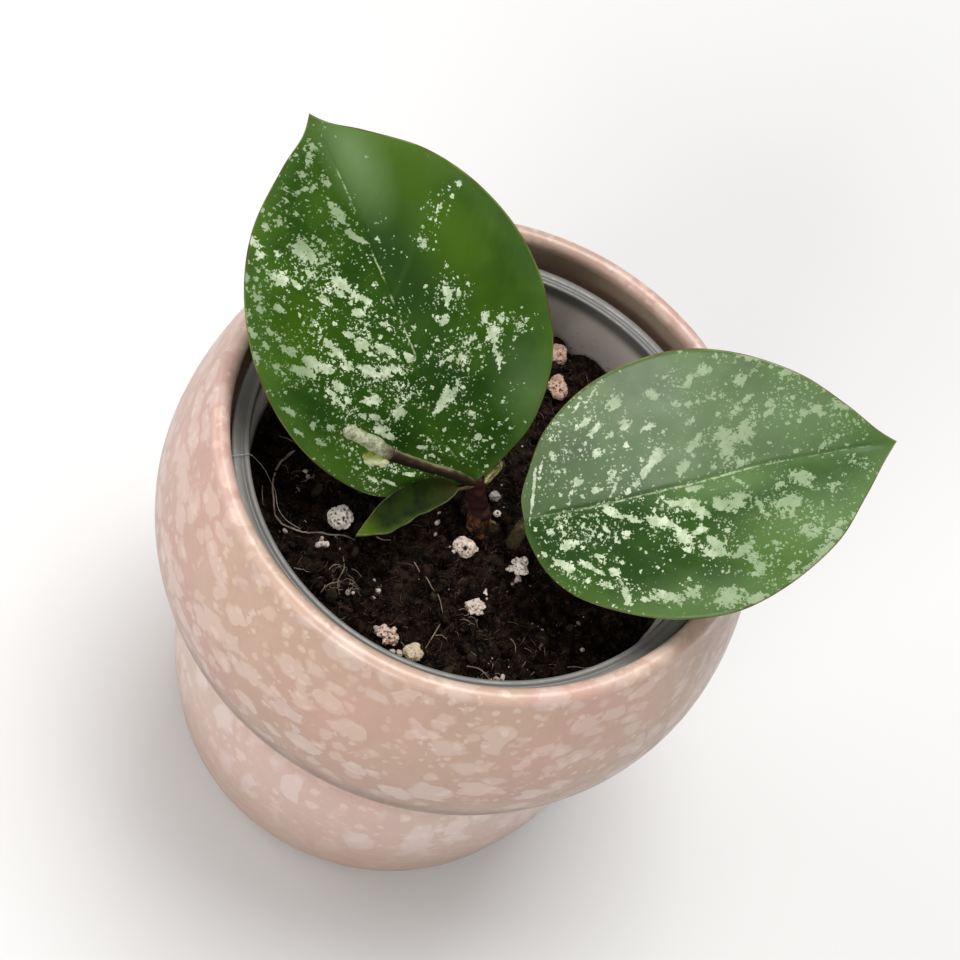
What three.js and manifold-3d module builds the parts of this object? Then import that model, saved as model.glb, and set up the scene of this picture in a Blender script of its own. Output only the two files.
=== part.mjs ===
// A young hoya in a nursery pot, standing inside a glazed ceramic pot.
// Millimetres, +Z up; the origin is the centre of the ceramic pot's flat base.
import * as THREE from 'three';
import { mergeVertices } from 'three/addons/utils/BufferGeometryUtils.js';
import Module from 'manifold-3d';

const wasm = await Module();
wasm.setup();

const gap = 0.3; // left between pieces that touch

// Ceramic pot: a round bowl over a narrower, slightly swollen body
const baseRadius = 44;
const footRounding = 6;
const bodyRadius = 46.6;
const bodyWidestAt = 28;
const waistRadius = 44.6;
const waistHeight = 50;
const waistToBowl = [[45.2, 52.2], [46.9, 54.5]];
const bowlCentreRadius = 21.7;
const bowlHeight = 77.5;
const bowlCurve = 34.1;
const bowlLowerAngle = -36;
const shoulderBend = 1.7;
const rimRadius = 47.8;
const rimHeight = 105;
const rimRounding = 1.8;
const rimInnerAngle = 215;
const potInside = [
  [47.3, 100.8], [49.3, 93], [50.6, 84], [50.4, 73], [47.2, 62], [41.8, 53.8],
  [40.2, 48], [41.4, 30], [39.7, 16],
];
const potFloor = 8.5;
const floorRounding = 4;
const potSides = 48;

// Nursery pot: thin plastic with a flat grooved rim, standing a little off centre
const nurseryX = 0.25;
const nurseryY = -1.2;
const nurseryHeight = 102;
const nurseryRimOuter = 45;
const nurseryRimInner = 41.9;
const nurseryBaseInner = 31.9;
const nurseryWall = 1.1;
const skirtDepth = 8;
const rimBevel = 0.4;
const grooveInset = 1.3;
const drainHoles = 6;
const drainRadius = 3.5;
const drainCircle = 21;

// Soil
const soilLevel = 91;
const soilRings = 11;
const soilSides = 40;
const soilShoulder = 3;
const heapHeight = 1.2;
const heapSpread = 14;

// Stem and side shoot
const stemFoot = new THREE.Vector3(4.7, -7.8, 91);
const stemDepth = 10;
const stemRadius = 1.9;
const nodeCentre = new THREE.Vector3(0.3, -6.3, 101.6);
const nodeRadius = 2.2;
const shootRadius = 1.2;

// Leaf blades: 1.4 mm thick along the middle, 0.7 mm at the margin
const bladeMiddle = 1.4;
const bladeEdge = 0.7;
const bladeRows = 20;
const bladeColumns = [0, 0.06, 0.2, 0.42, 0.64, 0.84, 1];

// Each leaf lies in its own frame: x along the midrib, y to the left, z out of the upper face.
// Margins and midrib are [x, y] points; angles are in degrees.
const leftLeaf = {
  base: [0.6, -5.85, 103.5],
  heading: 156,
  rise: 36,
  roll: -35.3,
  leftMargin: [
    [0, 0], [0.6, 4.5], [2.6, 11.9], [7, 18.8], [16, 24], [27, 26.1],
    [38, 25.3], [48.6, 21.7], [57, 16], [63.4, 7.8], [66.5, 2.6], [69.3, 0],
  ],
  rightMargin: [
    [0, 0], [0.6, -2.1], [2.8, -6.8], [7, -13.2], [16, -20.2], [27, -23.6],
    [38, -23.8], [48.4, -20.8], [57, -15.3], [63.3, -7.7], [66.7, -2.6], [69.3, 0],
  ],
  midrib: [[0, 0], [5.2, 2.3], [10, 3.1], [17, 2.2], [28, 0.7], [42, 0.1], [56, -0.4], [69.3, 0]],
  fold: 0.22,
  curl: 0.0022,
  arch: 3,
  tipDrop: 1.2,
};
const rightLeaf = {
  base: [10.57, -11.86, 107],
  heading: 26.5,
  rise: 31.4,
  roll: 29.8,
  leftMargin: [
    [0, 0], [0.5, 3.8], [2.6, 7.6], [7.2, 13.9], [15, 19.3], [24, 22],
    [33.5, 22.4], [42.7, 19.6], [51.4, 14.2], [57.5, 7.8], [61.5, 2.6], [64.1, 0],
  ],
  rightMargin: [
    [0, 0], [0.1, -3.6], [2.4, -9.6], [7, -14.6], [15, -18.8], [24, -21.5],
    [33.5, -21.9], [42.7, -19.2], [51.6, -14.1], [57.3, -8], [61.4, -3], [64.1, 0],
  ],
  midrib: [[0, 0], [14, -0.2], [28, 0.1], [42, 0.8], [54, 0.5], [64.1, 0]],
  fold: 0.25,
  curl: 0.0026,
  arch: 2.5,
  tipDrop: 0.8,
};
const youngLeaf = {
  base: [-1.9, -10, 104],
  heading: 231.7,
  rise: -8.7,
  roll: -6,
  leftMargin: [[0, 0], [1.6, 1.5], [5, 3], [10, 3.5], [15, 2.7], [18.4, 1.1], [20, 0]],
  rightMargin: [[0, 0], [1.4, -1.4], [5, -2.9], [10, -3.4], [15, -2.7], [18.4, -1.1], [20, 0]],
  midrib: [[0, 0], [20, 0]],
  fold: 0.5,
  curl: 0.006,
  arch: 0.8,
  tipDrop: 0.4,
};

// Grains in the soil: [name, x, y, size, detail, seed]
const grains = [
  ['perlite_01', -18.5, -18.6, 4.3, 2, 11],
  ['perlite_02', 3.3, -13, 4.5, 2, 12],
  ['perlite_03', 13.6, -12.3, 4.2, 2, 13],
  ['perlite_04', 9.7, -22.4, 3.9, 2, 14],
  ['perlite_05', 3.5, 35.2, 4.6, 2, 15],
  ['perlite_06', 6.3, 27.6, 5.2, 2, 16],
  ['perlite_07', 3.4, -36, 3.6, 2, 17],
  ['perlite_08', 4.5, -0.9, 2, 1, 18],
  ['perlite_09', 6.2, -4, 1.4, 1, 19],
  ['perlite_10', -19, -24.6, 2, 1, 20],
  ['perlite_11', 10.2, -18.9, 1.5, 1, 21],
  ['bark_chip', -1.8, -35.2, 4.2, 2, 22],
];

// Surface root: [x, y, height over the soil]
const rootRadius = 0.4;
const rootPath = [
  [-30.5, -8.8, -1.2], [-31.6, -11, 0.3], [-32.3, -14, 0.9], [-31.8, -17.4, 0.8],
  [-30.4, -20.4, 0.5], [-28.2, -22.9, 0.3], [-24.6, -23.6, 0.2], [-21.6, -22.9, -1.2],
];

function radians(degrees) {
  return THREE.MathUtils.degToRad(degrees);
}

// Repeatable random numbers from 0 to 1
function randomFrom(seed) {
  let state = seed;
  return () => {
    state = (state * 1664525 + 1013904223) % 4294967296;
    return state / 4294967296;
  };
}

// Closed geometry with shared corners and no collapsed triangles
function welded(geometry) {
  geometry.deleteAttribute('normal');
  geometry.deleteAttribute('uv');
  const merged = mergeVertices(geometry, 1e-4);
  const corners = merged.index.array;
  const kept = [];
  for (let i = 0; i < corners.length; i += 3) {
    const [a, b, c] = corners.slice(i, i + 3);
    if (a !== b && b !== c && c !== a) kept.push(a, b, c);
  }
  merged.setIndex(kept);
  return merged;
}

function toSolid(geometry) {
  const closed = welded(geometry);
  return new wasm.Manifold(new wasm.Mesh({
    numProp: 3,
    vertProperties: new Float32Array(closed.attributes.position.array),
    triVerts: new Uint32Array(closed.index.array),
  }));
}

function toGeometry(solid) {
  const mesh = solid.getMesh();
  const geometry = new THREE.BufferGeometry();
  geometry.setAttribute('position', new THREE.BufferAttribute(mesh.vertProperties, 3));
  geometry.setIndex(new THREE.BufferAttribute(mesh.triVerts, 1));
  geometry.computeVertexNormals();
  return geometry;
}

function piece(name, solid, color, roughness) {
  const material = new THREE.MeshStandardMaterial({ color, roughness, metalness: 0 });
  const mesh = new THREE.Mesh(toGeometry(solid), material);
  mesh.name = name;
  return mesh;
}

// Arc of a profile, in degrees
function arc(x, y, radius, from, to, steps) {
  const start = radians(from);
  const end = radians(to);
  return new THREE.EllipseCurve(x, y, radius, radius, start, end, to < from).getPoints(steps);
}

function pointList(pairs) {
  return pairs.map(([x, y]) => new THREE.Vector2(x, y));
}

// Turned solid about the Z axis
function turned(profile, sides) {
  return toSolid(new THREE.LatheGeometry(profile, sides).rotateX(Math.PI / 2));
}

// Tube along a smooth curve; its radius passes through the listed values
function tube(points, radii, sides, steps) {
  const path = new THREE.CatmullRomCurve3(points.map((point) => new THREE.Vector3(...point)));
  const section = new THREE.Shape(arc(0, 0, 1, 0, 360, sides).slice(0, sides));
  const geometry = new THREE.ExtrudeGeometry(section, { steps, extrudePath: path });
  const stations = path.getSpacedPoints(steps);
  const tangents = path.computeFrenetFrames(steps, false).tangents;
  const radiusCurve = new THREE.SplineCurve(pointList(radii.map((radius, i) => [i, radius])));
  const position = geometry.attributes.position;
  const vertex = new THREE.Vector3();
  for (let i = 0; i < position.count; i += 1) {
    vertex.fromBufferAttribute(position, i);
    const misfit = stations.map((station, k) => {
      const arm = vertex.clone().sub(station);
      return Math.abs(arm.length() - 1) + Math.abs(arm.dot(tangents[k]));
    });
    const nearest = misfit.indexOf(Math.min(...misfit));
    const radius = radiusCurve.getPoint(nearest / steps).y;
    vertex.sub(stations[nearest]).multiplyScalar(radius).add(stations[nearest]);
    position.setXYZ(i, vertex.x, vertex.y, vertex.z);
  }
  return toSolid(geometry);
}

// Rounded lump, stretched and turned about Z
function lump(centre, radii, heading, detail) {
  const geometry = new THREE.IcosahedronGeometry(1, detail).scale(...radii);
  geometry.rotateZ(radians(heading));
  geometry.translate(...centre);
  return toSolid(geometry);
}

function ceramicPot() {
  const outer = [new THREE.Vector2(0, 0)];
  outer.push(...arc(baseRadius - footRounding, footRounding, footRounding, -90, 0, 4));
  for (let z = footRounding + 5; z < waistHeight - 2; z += 6) {
    const lower = z < bodyWidestAt;
    const span = lower ? bodyWidestAt - footRounding : waistHeight - bodyWidestAt;
    const drop = bodyRadius - (lower ? baseRadius : waistRadius);
    outer.push(new THREE.Vector2(bodyRadius - drop * ((z - bodyWidestAt) / span) ** 2, z));
  }
  outer.push(...pointList([[waistRadius, waistHeight], ...waistToBowl]));
  outer.push(...arc(bowlCentreRadius, bowlHeight, bowlCurve, bowlLowerAngle, 0, 5));
  const bowlRadius = bowlCentreRadius + bowlCurve;
  const rimOuter = rimRadius + rimRounding;
  for (let step = 1; step < 5; step += 1) {
    const rise = step / 5;
    const radius = bowlRadius - (bowlRadius - rimOuter) * rise ** shoulderBend;
    outer.push(new THREE.Vector2(radius, bowlHeight + rise * (rimHeight - bowlHeight)));
  }
  outer.push(...arc(rimRadius, rimHeight, rimRounding, 0, rimInnerAngle, 7));
  const floorEdge = potInside[potInside.length - 1][0] - floorRounding;
  const floor = arc(floorEdge, potFloor + floorRounding, floorRounding, 0, -90, 3);
  const inner = [...pointList(potInside), ...floor, new THREE.Vector2(0, potFloor)];
  return turned([...outer, ...inner], potSides);
}

function nurseryInnerRadius(z) {
  const low = potFloor + gap + nurseryWall;
  const share = (z - low) / (nurseryHeight - low);
  return nurseryBaseInner + share * (nurseryRimInner - nurseryBaseInner);
}

function nurseryPot() {
  const bottom = potFloor + gap;
  const top = nurseryHeight;
  const skirtBottom = top - skirtDepth;
  const grooveAt = nurseryRimInner + grooveInset;
  const underRim = top - nurseryWall;
  const skirtInner = nurseryRimOuter - nurseryWall;
  const floorTop = bottom + nurseryWall;
  const profile = pointList([
    [0, bottom], [nurseryBaseInner, bottom], [nurseryBaseInner + nurseryWall, floorTop],
    [nurseryInnerRadius(underRim) + nurseryWall, underRim],
    [skirtInner, underRim], [skirtInner, skirtBottom], [nurseryRimOuter, skirtBottom],
    [nurseryRimOuter, top - rimBevel], [nurseryRimOuter - rimBevel, top],
    [grooveAt + rimBevel, top], [grooveAt, top - rimBevel], [grooveAt - rimBevel, top],
    [nurseryRimInner + rimBevel, top], [nurseryRimInner, top - rimBevel],
    [nurseryInnerRadius(floorTop), floorTop], [0, floorTop],
  ]);
  let pot = turned(profile, potSides);
  for (let i = 0; i < drainHoles; i += 1) {
    const angle = radians(i * 360 / drainHoles);
    const drill = new THREE.CylinderGeometry(drainRadius, drainRadius, 4 * nurseryWall, 12);
    drill.rotateX(Math.PI / 2);
    drill.translate(drainCircle * Math.cos(angle), drainCircle * Math.sin(angle), bottom);
    pot = pot.subtract(toSolid(drill));
  }
  return pot;
}

// Height of the uneven soil surface, a little heaped round the stem
function soilHeight(x, y) {
  const waves = 0.5 * Math.sin(0.31 * x + 1.1) * Math.cos(0.27 * y - 0.4)
    + 0.35 * Math.sin(0.7 * x - 0.5 * y)
    + 0.25 * Math.sin(1.3 * y + 0.9 * x);
  const fromStem = Math.hypot(x - stemFoot.x, y - stemFoot.y);
  const heap = heapHeight * Math.exp(-((fromStem / heapSpread) ** 2));
  return soilLevel + waves + heap - 0.0006 * (x * x + y * y);
}

function soilMass() {
  const bottom = potFloor + 2 * gap + nurseryWall;
  const shoulder = soilLevel - soilShoulder;
  const edge = nurseryInnerRadius(shoulder) - gap;
  const profile = [new THREE.Vector2(0, bottom)];
  profile.push(new THREE.Vector2(nurseryInnerRadius(bottom) - gap, bottom));
  profile.push(new THREE.Vector2(edge, shoulder));
  for (let ring = soilRings; ring >= 0; ring -= 1) {
    profile.push(new THREE.Vector2(edge * ring / soilRings, soilLevel));
  }
  const geometry = new THREE.LatheGeometry(profile, soilSides).rotateX(Math.PI / 2);
  geometry.translate(nurseryX, nurseryY, 0);
  const position = geometry.attributes.position;
  for (let i = 0; i < position.count; i += 1) {
    if (Math.abs(position.getZ(i) - soilLevel) < 0.01) {
      position.setZ(i, soilHeight(position.getX(i), position.getY(i)));
    }
  }
  return toSolid(geometry);
}

// Rough grain about its own centre, flattened a little
function grainSolid(size, detail, seed, growth) {
  const geometry = welded(new THREE.IcosahedronGeometry(size / 2 + growth, detail));
  const random = randomFrom(seed);
  const position = geometry.attributes.position;
  const vertex = new THREE.Vector3();
  for (let i = 0; i < position.count; i += 1) {
    vertex.fromBufferAttribute(position, i).multiplyScalar(0.86 + 0.28 * random());
    position.setXYZ(i, vertex.x, vertex.y, vertex.z * 0.85);
  }
  return toSolid(geometry);
}

function grainCentre(x, y, size) {
  return [x, y, soilHeight(x, y) + 0.18 * size];
}

function stemTube(growth) {
  const low = [stemFoot.x + 0.4, stemFoot.y - 0.2, stemFoot.z - stemDepth];
  const bend = [2.9, -7.4, 96.5];
  const points = [low, stemFoot.toArray(), bend, nodeCentre.toArray()];
  const radii = [stemRadius, stemRadius, 1.65, 1.7].map((radius) => radius + growth);
  return tube(points, radii, 12, 8);
}

const shootPath = [
  [0.3, -7, 102.6], [-3.7, -9.6, 106.6], [-8, -12, 109], [-11.7, -14, 111.2], [-14.6, -15.6, 113],
];

function stem(growth) {
  const bulge = [nodeRadius, 2, 1.9].map((radius) => radius + growth);
  const radii = [1.25, shootRadius, 1.1, 1.15, 1.3].map((radius) => radius + growth);
  const node = lump(nodeCentre.toArray(), bulge, -30, 2);
  return stemTube(growth).add(node).add(tube(shootPath, radii, 10, 10));
}

// Pale knobbed end of the side shoot
function shootTip() {
  const points = [[-15.2, -15.9, 113.5], [-17.6, -16.4, 115], [-20.2, -16.9, 116], [-22.6, -17.4, 116.4]];
  const body = tube(points, [1.25, 1.35, 1.2, 1.1], 10, 6);
  return body.add(lump([-22.4, -17.3, 116.4], [1.5, 1.35, 1.35], 20, 1));
}

function bud() {
  return lump([-16.3, -17.6, 111.6], [2, 1.2, 1.2], 15, 2);
}

// Turns a leaf's own frame into the pot's
function leafPlace(leaf) {
  const turn = new THREE.Euler(radians(leaf.roll), radians(-leaf.rise), radians(leaf.heading), 'ZYX');
  return new THREE.Matrix4().makeRotationFromEuler(turn).setPosition(...leaf.base);
}

function heightOnMidrib(points, x) {
  const after = points.findIndex((point) => point[0] >= x);
  if (after <= 0) return points[0][1];
  const [x0, y0] = points[after - 1];
  const [x1, y1] = points[after];
  const share = (x - x0) / (x1 - x0);
  const eased = share * share * (3 - 2 * share);
  return y0 + (y1 - y0) * eased;
}

// Folded, arched blade with a rib under its midrib
function blade(leaf, rows) {
  const length = leaf.midrib[leaf.midrib.length - 1][0];
  const left = new THREE.SplineCurve(pointList(leaf.leftMargin));
  const right = new THREE.SplineCurve(pointList(leaf.rightMargin));
  const shares = [...bladeColumns.slice(1).reverse().map((share) => -share), ...bladeColumns];
  const top = [];
  const bottom = [];
  for (let row = 0; row <= rows; row += 1) {
    const onLeft = left.getPoint(row / rows);
    const onRight = right.getPoint(row / rows);
    const middleX = (onLeft.x + onRight.x) / 2;
    const middle = new THREE.Vector2(middleX, heightOnMidrib(leaf.midrib, middleX));
    if (row === 0 || row === rows) middle.copy(onLeft);
    const along = middleX / length;
    const droop = leaf.tipDrop * Math.max(0, (along - 0.85) / 0.15) ** 2;
    for (const share of shares) {
      const point = middle.clone().lerp(share < 0 ? onRight : onLeft, Math.abs(share));
      const across = point.distanceTo(middle);
      const fold = leaf.fold * (Math.hypot(across, 1) - 1) - leaf.curl * across ** 2;
      const z = fold + leaf.arch * Math.sin(Math.PI * along) - droop;
      const rib = 0.8 * Math.exp(-(across ** 2)) * (1 - along);
      const body = bladeMiddle - (bladeMiddle - bladeEdge) * share ** 2;
      top.push(point.x, point.y, z);
      bottom.push(point.x, point.y, z - body - rib);
    }
  }
  const columns = shares.length;
  const under = top.length / 3;
  const index = [];
  for (let row = 0; row < rows; row += 1) {
    for (let column = 0; column < columns - 1; column += 1) {
      const a = row * columns + column;
      const b = a + columns;
      const faces = column < (columns - 1) / 2
        ? [[a, b, b + 1], [a, b + 1, a + 1]]
        : [[a, b, a + 1], [a + 1, b, b + 1]];
      for (const [p, q, r] of faces) {
        index.push(p, q, r, under + p, under + r, under + q);
      }
    }
    const a = row * columns;
    const b = a + columns;
    const c = a + columns - 1;
    const d = b + columns - 1;
    index.push(a, under + a, b, b, under + a, under + b);
    index.push(c, d, under + c, d, under + d, under + c);
  }
  const geometry = new THREE.BufferGeometry();
  geometry.setAttribute('position', new THREE.Float32BufferAttribute([...top, ...bottom], 3));
  geometry.setIndex(index);
  return toSolid(geometry);
}

// Blade and stalk in the leaf's own frame, cut clear of the stem
function leafSolid(leaf, rows, stalk) {
  const inverse = leafPlace(leaf).invert().elements;
  const clearOf = stem(gap).transform(inverse);
  return blade(leaf, rows).add(stalk.transform(inverse)).subtract(clearOf);
}

function placedLeaf(name, leaf, rows, stalk, color) {
  const mesh = piece(name, leafSolid(leaf, rows, stalk), color, 0.35);
  mesh.position.set(...leaf.base);
  mesh.rotation.set(radians(leaf.roll), radians(-leaf.rise), radians(leaf.heading), 'ZYX');
  return mesh;
}

function leftStalk() {
  const points = [[1.3, -5.4, 101.6], [2.3, -4.3, 103], [2.6, -3.4, 104.8], [0.6, -3.5, 105.9]];
  return tube(points, [1.3, 1.25, 1.1, 0.6], 10, 7);
}

function rightStalk(growth) {
  const points = [
    [11.2, -6.6, 84], [11.1, -7.4, 91], [11, -9.8, 99], [11.2, -11.4, 104.6], [13.4, -10.1, 108],
  ];
  const radii = [1.4, 1.35, 1.25, 1.3, 0.7].map((radius) => radius + growth);
  return tube(points, radii, 10, 12);
}

function youngStalk() {
  const points = [[0.1, -7.6, 103.1], [-1.2, -9.2, 103.6], [-3, -10.9, 103.4]];
  return tube(points, [0.8, 0.7, 0.5], 8, 4);
}

function rootTube(growth) {
  const points = rootPath.map(([x, y, over]) => [x, y, soilHeight(x, y) + over + rootRadius]);
  return tube(points, [rootRadius + growth, rootRadius + growth], 6, 24);
}

function soilWithHoles() {
  const grown = 1.5 * gap;
  let soil = soilMass().subtract(stemTube(gap)).subtract(rightStalk(gap)).subtract(rootTube(gap));
  for (const [, x, y, size, detail, seed] of grains) {
    const dent = grainSolid(size, detail, seed, grown);
    soil = soil.subtract(dent.translate(grainCentre(x, y, size)));
  }
  return soil;
}

const plant = new THREE.Group();
plant.add(piece('stem', stem(0), 0x4a2c1c, 0.7));
plant.add(piece('shoot_tip', shootTip(), 0xcfc7a8, 0.6));
plant.add(piece('bud', bud(), 0xa3a03c, 0.5));
plant.add(placedLeaf('leaf_left', leftLeaf, bladeRows, leftStalk(), 0x35601f));
plant.add(placedLeaf('leaf_right', rightLeaf, bladeRows, rightStalk(0), 0x3d6632));
plant.add(placedLeaf('leaf_young', youngLeaf, 10, youngStalk(), 0x1f3a12));
plant.add(piece('surface_root', rootTube(0), 0xa08468, 0.8));

const soilBall = new THREE.Group();
soilBall.add(piece('soil', soilWithHoles(), 0x1c1310, 0.95));
for (const [name, x, y, size, detail, seed] of grains) {
  const color = name === 'bark_chip' ? 0x8a6a58 : 0xe4dcd4;
  const grain = piece(name, grainSolid(size, detail, seed, 0), color, 0.9);
  grain.position.set(...grainCentre(x, y, size));
  soilBall.add(grain);
}

const nursery = piece('nursery_pot', nurseryPot(), 0x8d9191, 0.4);
nursery.position.set(nurseryX, nurseryY, 0);

const pottedHoya = new THREE.Group();
pottedHoya.add(piece('ceramic_pot', ceramicPot(), 0xd9b7a6, 0.25));
pottedHoya.add(nursery, soilBall, plant);

export default pottedHoya;
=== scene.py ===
import bmesh
import bpy
import math
import random
from mathutils import Euler, Matrix, Vector, noise


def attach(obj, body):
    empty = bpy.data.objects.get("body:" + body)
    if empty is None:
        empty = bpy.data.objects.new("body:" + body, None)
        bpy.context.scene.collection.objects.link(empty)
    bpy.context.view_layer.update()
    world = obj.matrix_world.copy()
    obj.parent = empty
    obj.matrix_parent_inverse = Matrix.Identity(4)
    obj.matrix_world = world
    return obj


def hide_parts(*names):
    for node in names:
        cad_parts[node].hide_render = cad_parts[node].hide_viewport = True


# A potted hoya: two big splashed leaves, a cut side shoot, soil with perlite, and two pots.
# Points are in millimetres from the middle of the ceramic pot's foot; the meshes are in metres.
mm = 0.001
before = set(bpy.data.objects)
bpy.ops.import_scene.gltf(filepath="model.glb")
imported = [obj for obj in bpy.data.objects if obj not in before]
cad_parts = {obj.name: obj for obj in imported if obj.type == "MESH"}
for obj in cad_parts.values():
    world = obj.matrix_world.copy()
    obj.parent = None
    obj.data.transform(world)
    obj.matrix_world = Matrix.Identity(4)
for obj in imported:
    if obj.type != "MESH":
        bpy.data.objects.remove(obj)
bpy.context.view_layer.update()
print("frame loaded")


def mix(a, b, share):
    return a + (b - a) * share


def smooth(low, high, value):
    share = min(1, max(0, (value - low) / (high - low)))
    return share * share * (3 - 2 * share)


def ripple(x, y, z, scale):
    return noise.noise(Vector((x * scale, y * scale, z * scale)))


# A point on the smooth curve through the listed points, t from 0 to 1
def splineAt(points, t):
    last = len(points) - 1
    place = t * last
    i = min(int(place), last)
    share = place - i
    a = points[max(i - 1, 0)]
    b = points[i]
    c = points[min(i + 1, last)]
    d = points[min(i + 2, last)]
    found = []
    for p0, p1, p2, p3 in zip(a, b, c, d):
        v0 = (p2 - p0) / 2
        v1 = (p3 - p1) / 2
        found.append(
            (2 * p1 - 2 * p2 + v0 + v1) * share ** 3
            + (3 * p2 - 3 * p1 - 2 * v0 - v1) * share ** 2
            + v0 * share + p1
        )
    return found


def arcPoints(x, y, radius, start, end, steps):
    found = []
    for step in range(steps + 1):
        angle = math.radians(mix(start, end, step / steps))
        found.append((x + radius * math.cos(angle), y + radius * math.sin(angle)))
    return found


# One object from one or more shapes: points, faces, marks for the material, and a finish number
def makePiece(name, shapes, materials, slotName, *nodes):
    points, faces, finishes = [], [], []
    kinds = {}
    for shape in shapes:
        for mark, values in shape.get("marks", {}).items():
            kinds[mark] = "FLOAT_VECTOR" if hasattr(values[0], "__len__") else "FLOAT"
    marks = {mark: [] for mark in kinds}
    for shape in shapes:
        start = len(points)
        points += [(x * mm, y * mm, z * mm) for x, y, z in shape["points"]]
        faces += [[start + corner for corner in face] for face in shape["faces"]]
        finishes += [shape.get("finish", 0)] * len(shape["faces"])
        for mark, kind in kinds.items():
            empty = (0, 0, 0) if kind == "FLOAT_VECTOR" else 0
            marks[mark] += shape.get("marks", {}).get(mark) or [empty] * len(shape["points"])
    mesh = bpy.data.meshes.new(name)
    mesh.from_pydata(points, [], faces)
    mesh.polygons.foreach_set("material_index", finishes)
    for mark, kind in kinds.items():
        layer = mesh.attributes.new(mark, kind, "POINT")
        if kind == "FLOAT_VECTOR":
            layer.data.foreach_set("vector", [part for value in marks[mark] for part in value])
        else:
            layer.data.foreach_set("value", marks[mark])
    mesh.shade_smooth()
    for material in materials:
        mesh.materials.append(material)
    piece = bpy.data.objects.new(name, mesh)
    bpy.context.scene.collection.objects.link(piece)
    if nodes:
        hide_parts(*nodes)
    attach(piece, "root")
    return piece


# Closed shape turned about the Z axis; the outline runs from the axis under the piece, up its
# outside, over the rim and down its inside to the axis again
def turnedShape(outline, sides, wobble=None):
    points, faces = [], []
    for radius, z in outline:
        onAxis = radius < 1e-6
        for side in range(1 if onAxis else sides):
            angle = 2 * math.pi * side / sides
            shift = wobble(angle, z) if wobble and not onAxis else 0
            points.append(((radius + shift) * math.cos(angle), (radius + shift) * math.sin(angle), z))
    start = 0
    for ring in range(len(outline) - 1):
        lowOnAxis = outline[ring][0] < 1e-6
        highOnAxis = outline[ring + 1][0] < 1e-6
        after = start + (1 if lowOnAxis else sides)
        for side in range(sides):
            other = (side + 1) % sides
            if lowOnAxis:
                faces.append([start, after + other, after + side])
            elif highOnAxis:
                faces.append([start + side, start + other, after])
            else:
                faces.append([start + side, start + other, after + other, after + side])
        start = after
    return {"points": points, "faces": faces}


# Round-ended tube along a smooth path. Its strand mark runs lengthwise, for streaks
def tubeShape(path, radii, sides, steps, rough=0, roughScale=1, finish=0):
    stations = [Vector(splineAt(path, step / steps)) for step in range(steps + 1)]
    widths = [splineAt([(radius,) for radius in radii], step / steps)[0] for step in range(steps + 1)]
    tangents = []
    for i in range(steps + 1):
        ahead = stations[min(i + 1, steps)] - stations[max(i - 1, 0)]
        tangents.append(ahead.normalized())
    side = tangents[0].orthogonal().normalized()
    rings = []
    for angle in (80, 55, 30):
        bend = math.radians(angle)
        centre = stations[0] - tangents[0] * widths[0] * math.sin(bend) * 0.6
        rings.append((centre, tangents[0], widths[0] * math.cos(bend)))
    rings += list(zip(stations, tangents, widths))
    for angle in (30, 55, 80):
        bend = math.radians(angle)
        centre = stations[-1] + tangents[-1] * widths[-1] * math.sin(bend) * 0.6
        rings.append((centre, tangents[-1], widths[-1] * math.cos(bend)))
    points, faces, strands, along = [], [], [], []
    travelled = 0
    before = rings[0][0]
    for centre, tangent, width in rings:
        travelled += (centre - before).length
        before = centre
        side = (side - tangent * side.dot(tangent)).normalized()
        other = tangent.cross(side)
        for k in range(sides):
            angle = 2 * math.pi * k / sides
            out = side * math.cos(angle) + other * math.sin(angle)
            spot = centre + out * width
            swell = 1 + rough * ripple(spot.x, spot.y, spot.z, roughScale)
            points.append(tuple(centre + out * width * swell))
            strands.append((math.cos(angle) * width, math.sin(angle) * width, travelled * 0.16))
            along.append(travelled)
    for ring in range(len(rings) - 1):
        for k in range(sides):
            a = ring * sides + k
            b = ring * sides + (k + 1) % sides
            faces.append([a, b, b + sides, a + sides])
    faces.append(list(range(sides))[::-1])
    faces.append([len(points) - sides + k for k in range(sides)])
    marks = {"strand": strands, "along": along}
    return {"points": points, "faces": faces, "marks": marks, "finish": finish}


def ballShape(detail):
    ball = bmesh.new()
    bmesh.ops.create_icosphere(ball, subdivisions=detail, radius=1)
    ball.verts.ensure_lookup_table()
    points = [vertex.co.copy() for vertex in ball.verts]
    faces = [[vertex.index for vertex in face.verts] for face in ball.faces]
    ball.free()
    return points, faces


# Rounded lump, stretched and turned about Z
def lumpShape(centre, radii, heading, detail, rough, roughScale):
    ball, faces = ballShape(detail)
    turn = Matrix.Rotation(math.radians(heading), 3, "Z")
    points, strands = [], []
    for out in ball:
        spot = turn @ Vector((out.x * radii[0], out.y * radii[1], out.z * radii[2])) + Vector(centre)
        swell = 1 + rough * ripple(spot.x, spot.y, spot.z, roughScale)
        points.append(tuple(Vector(centre) + (spot - Vector(centre)) * swell))
        strands.append((out.x * radii[0], out.y * radii[1], out.z * radii[2]))
    return {"points": points, "faces": faces, "marks": {"strand": strands}}


# Linear colour from the 0 to 255 values of a paint chart
def paint(red, green, blue):
    parts = []
    for value in (red, green, blue):
        share = value / 255
        parts.append(share / 12.92 if share <= 0.04045 else ((share + 0.055) / 1.055) ** 2.4)
    return (*parts, 1)


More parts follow.
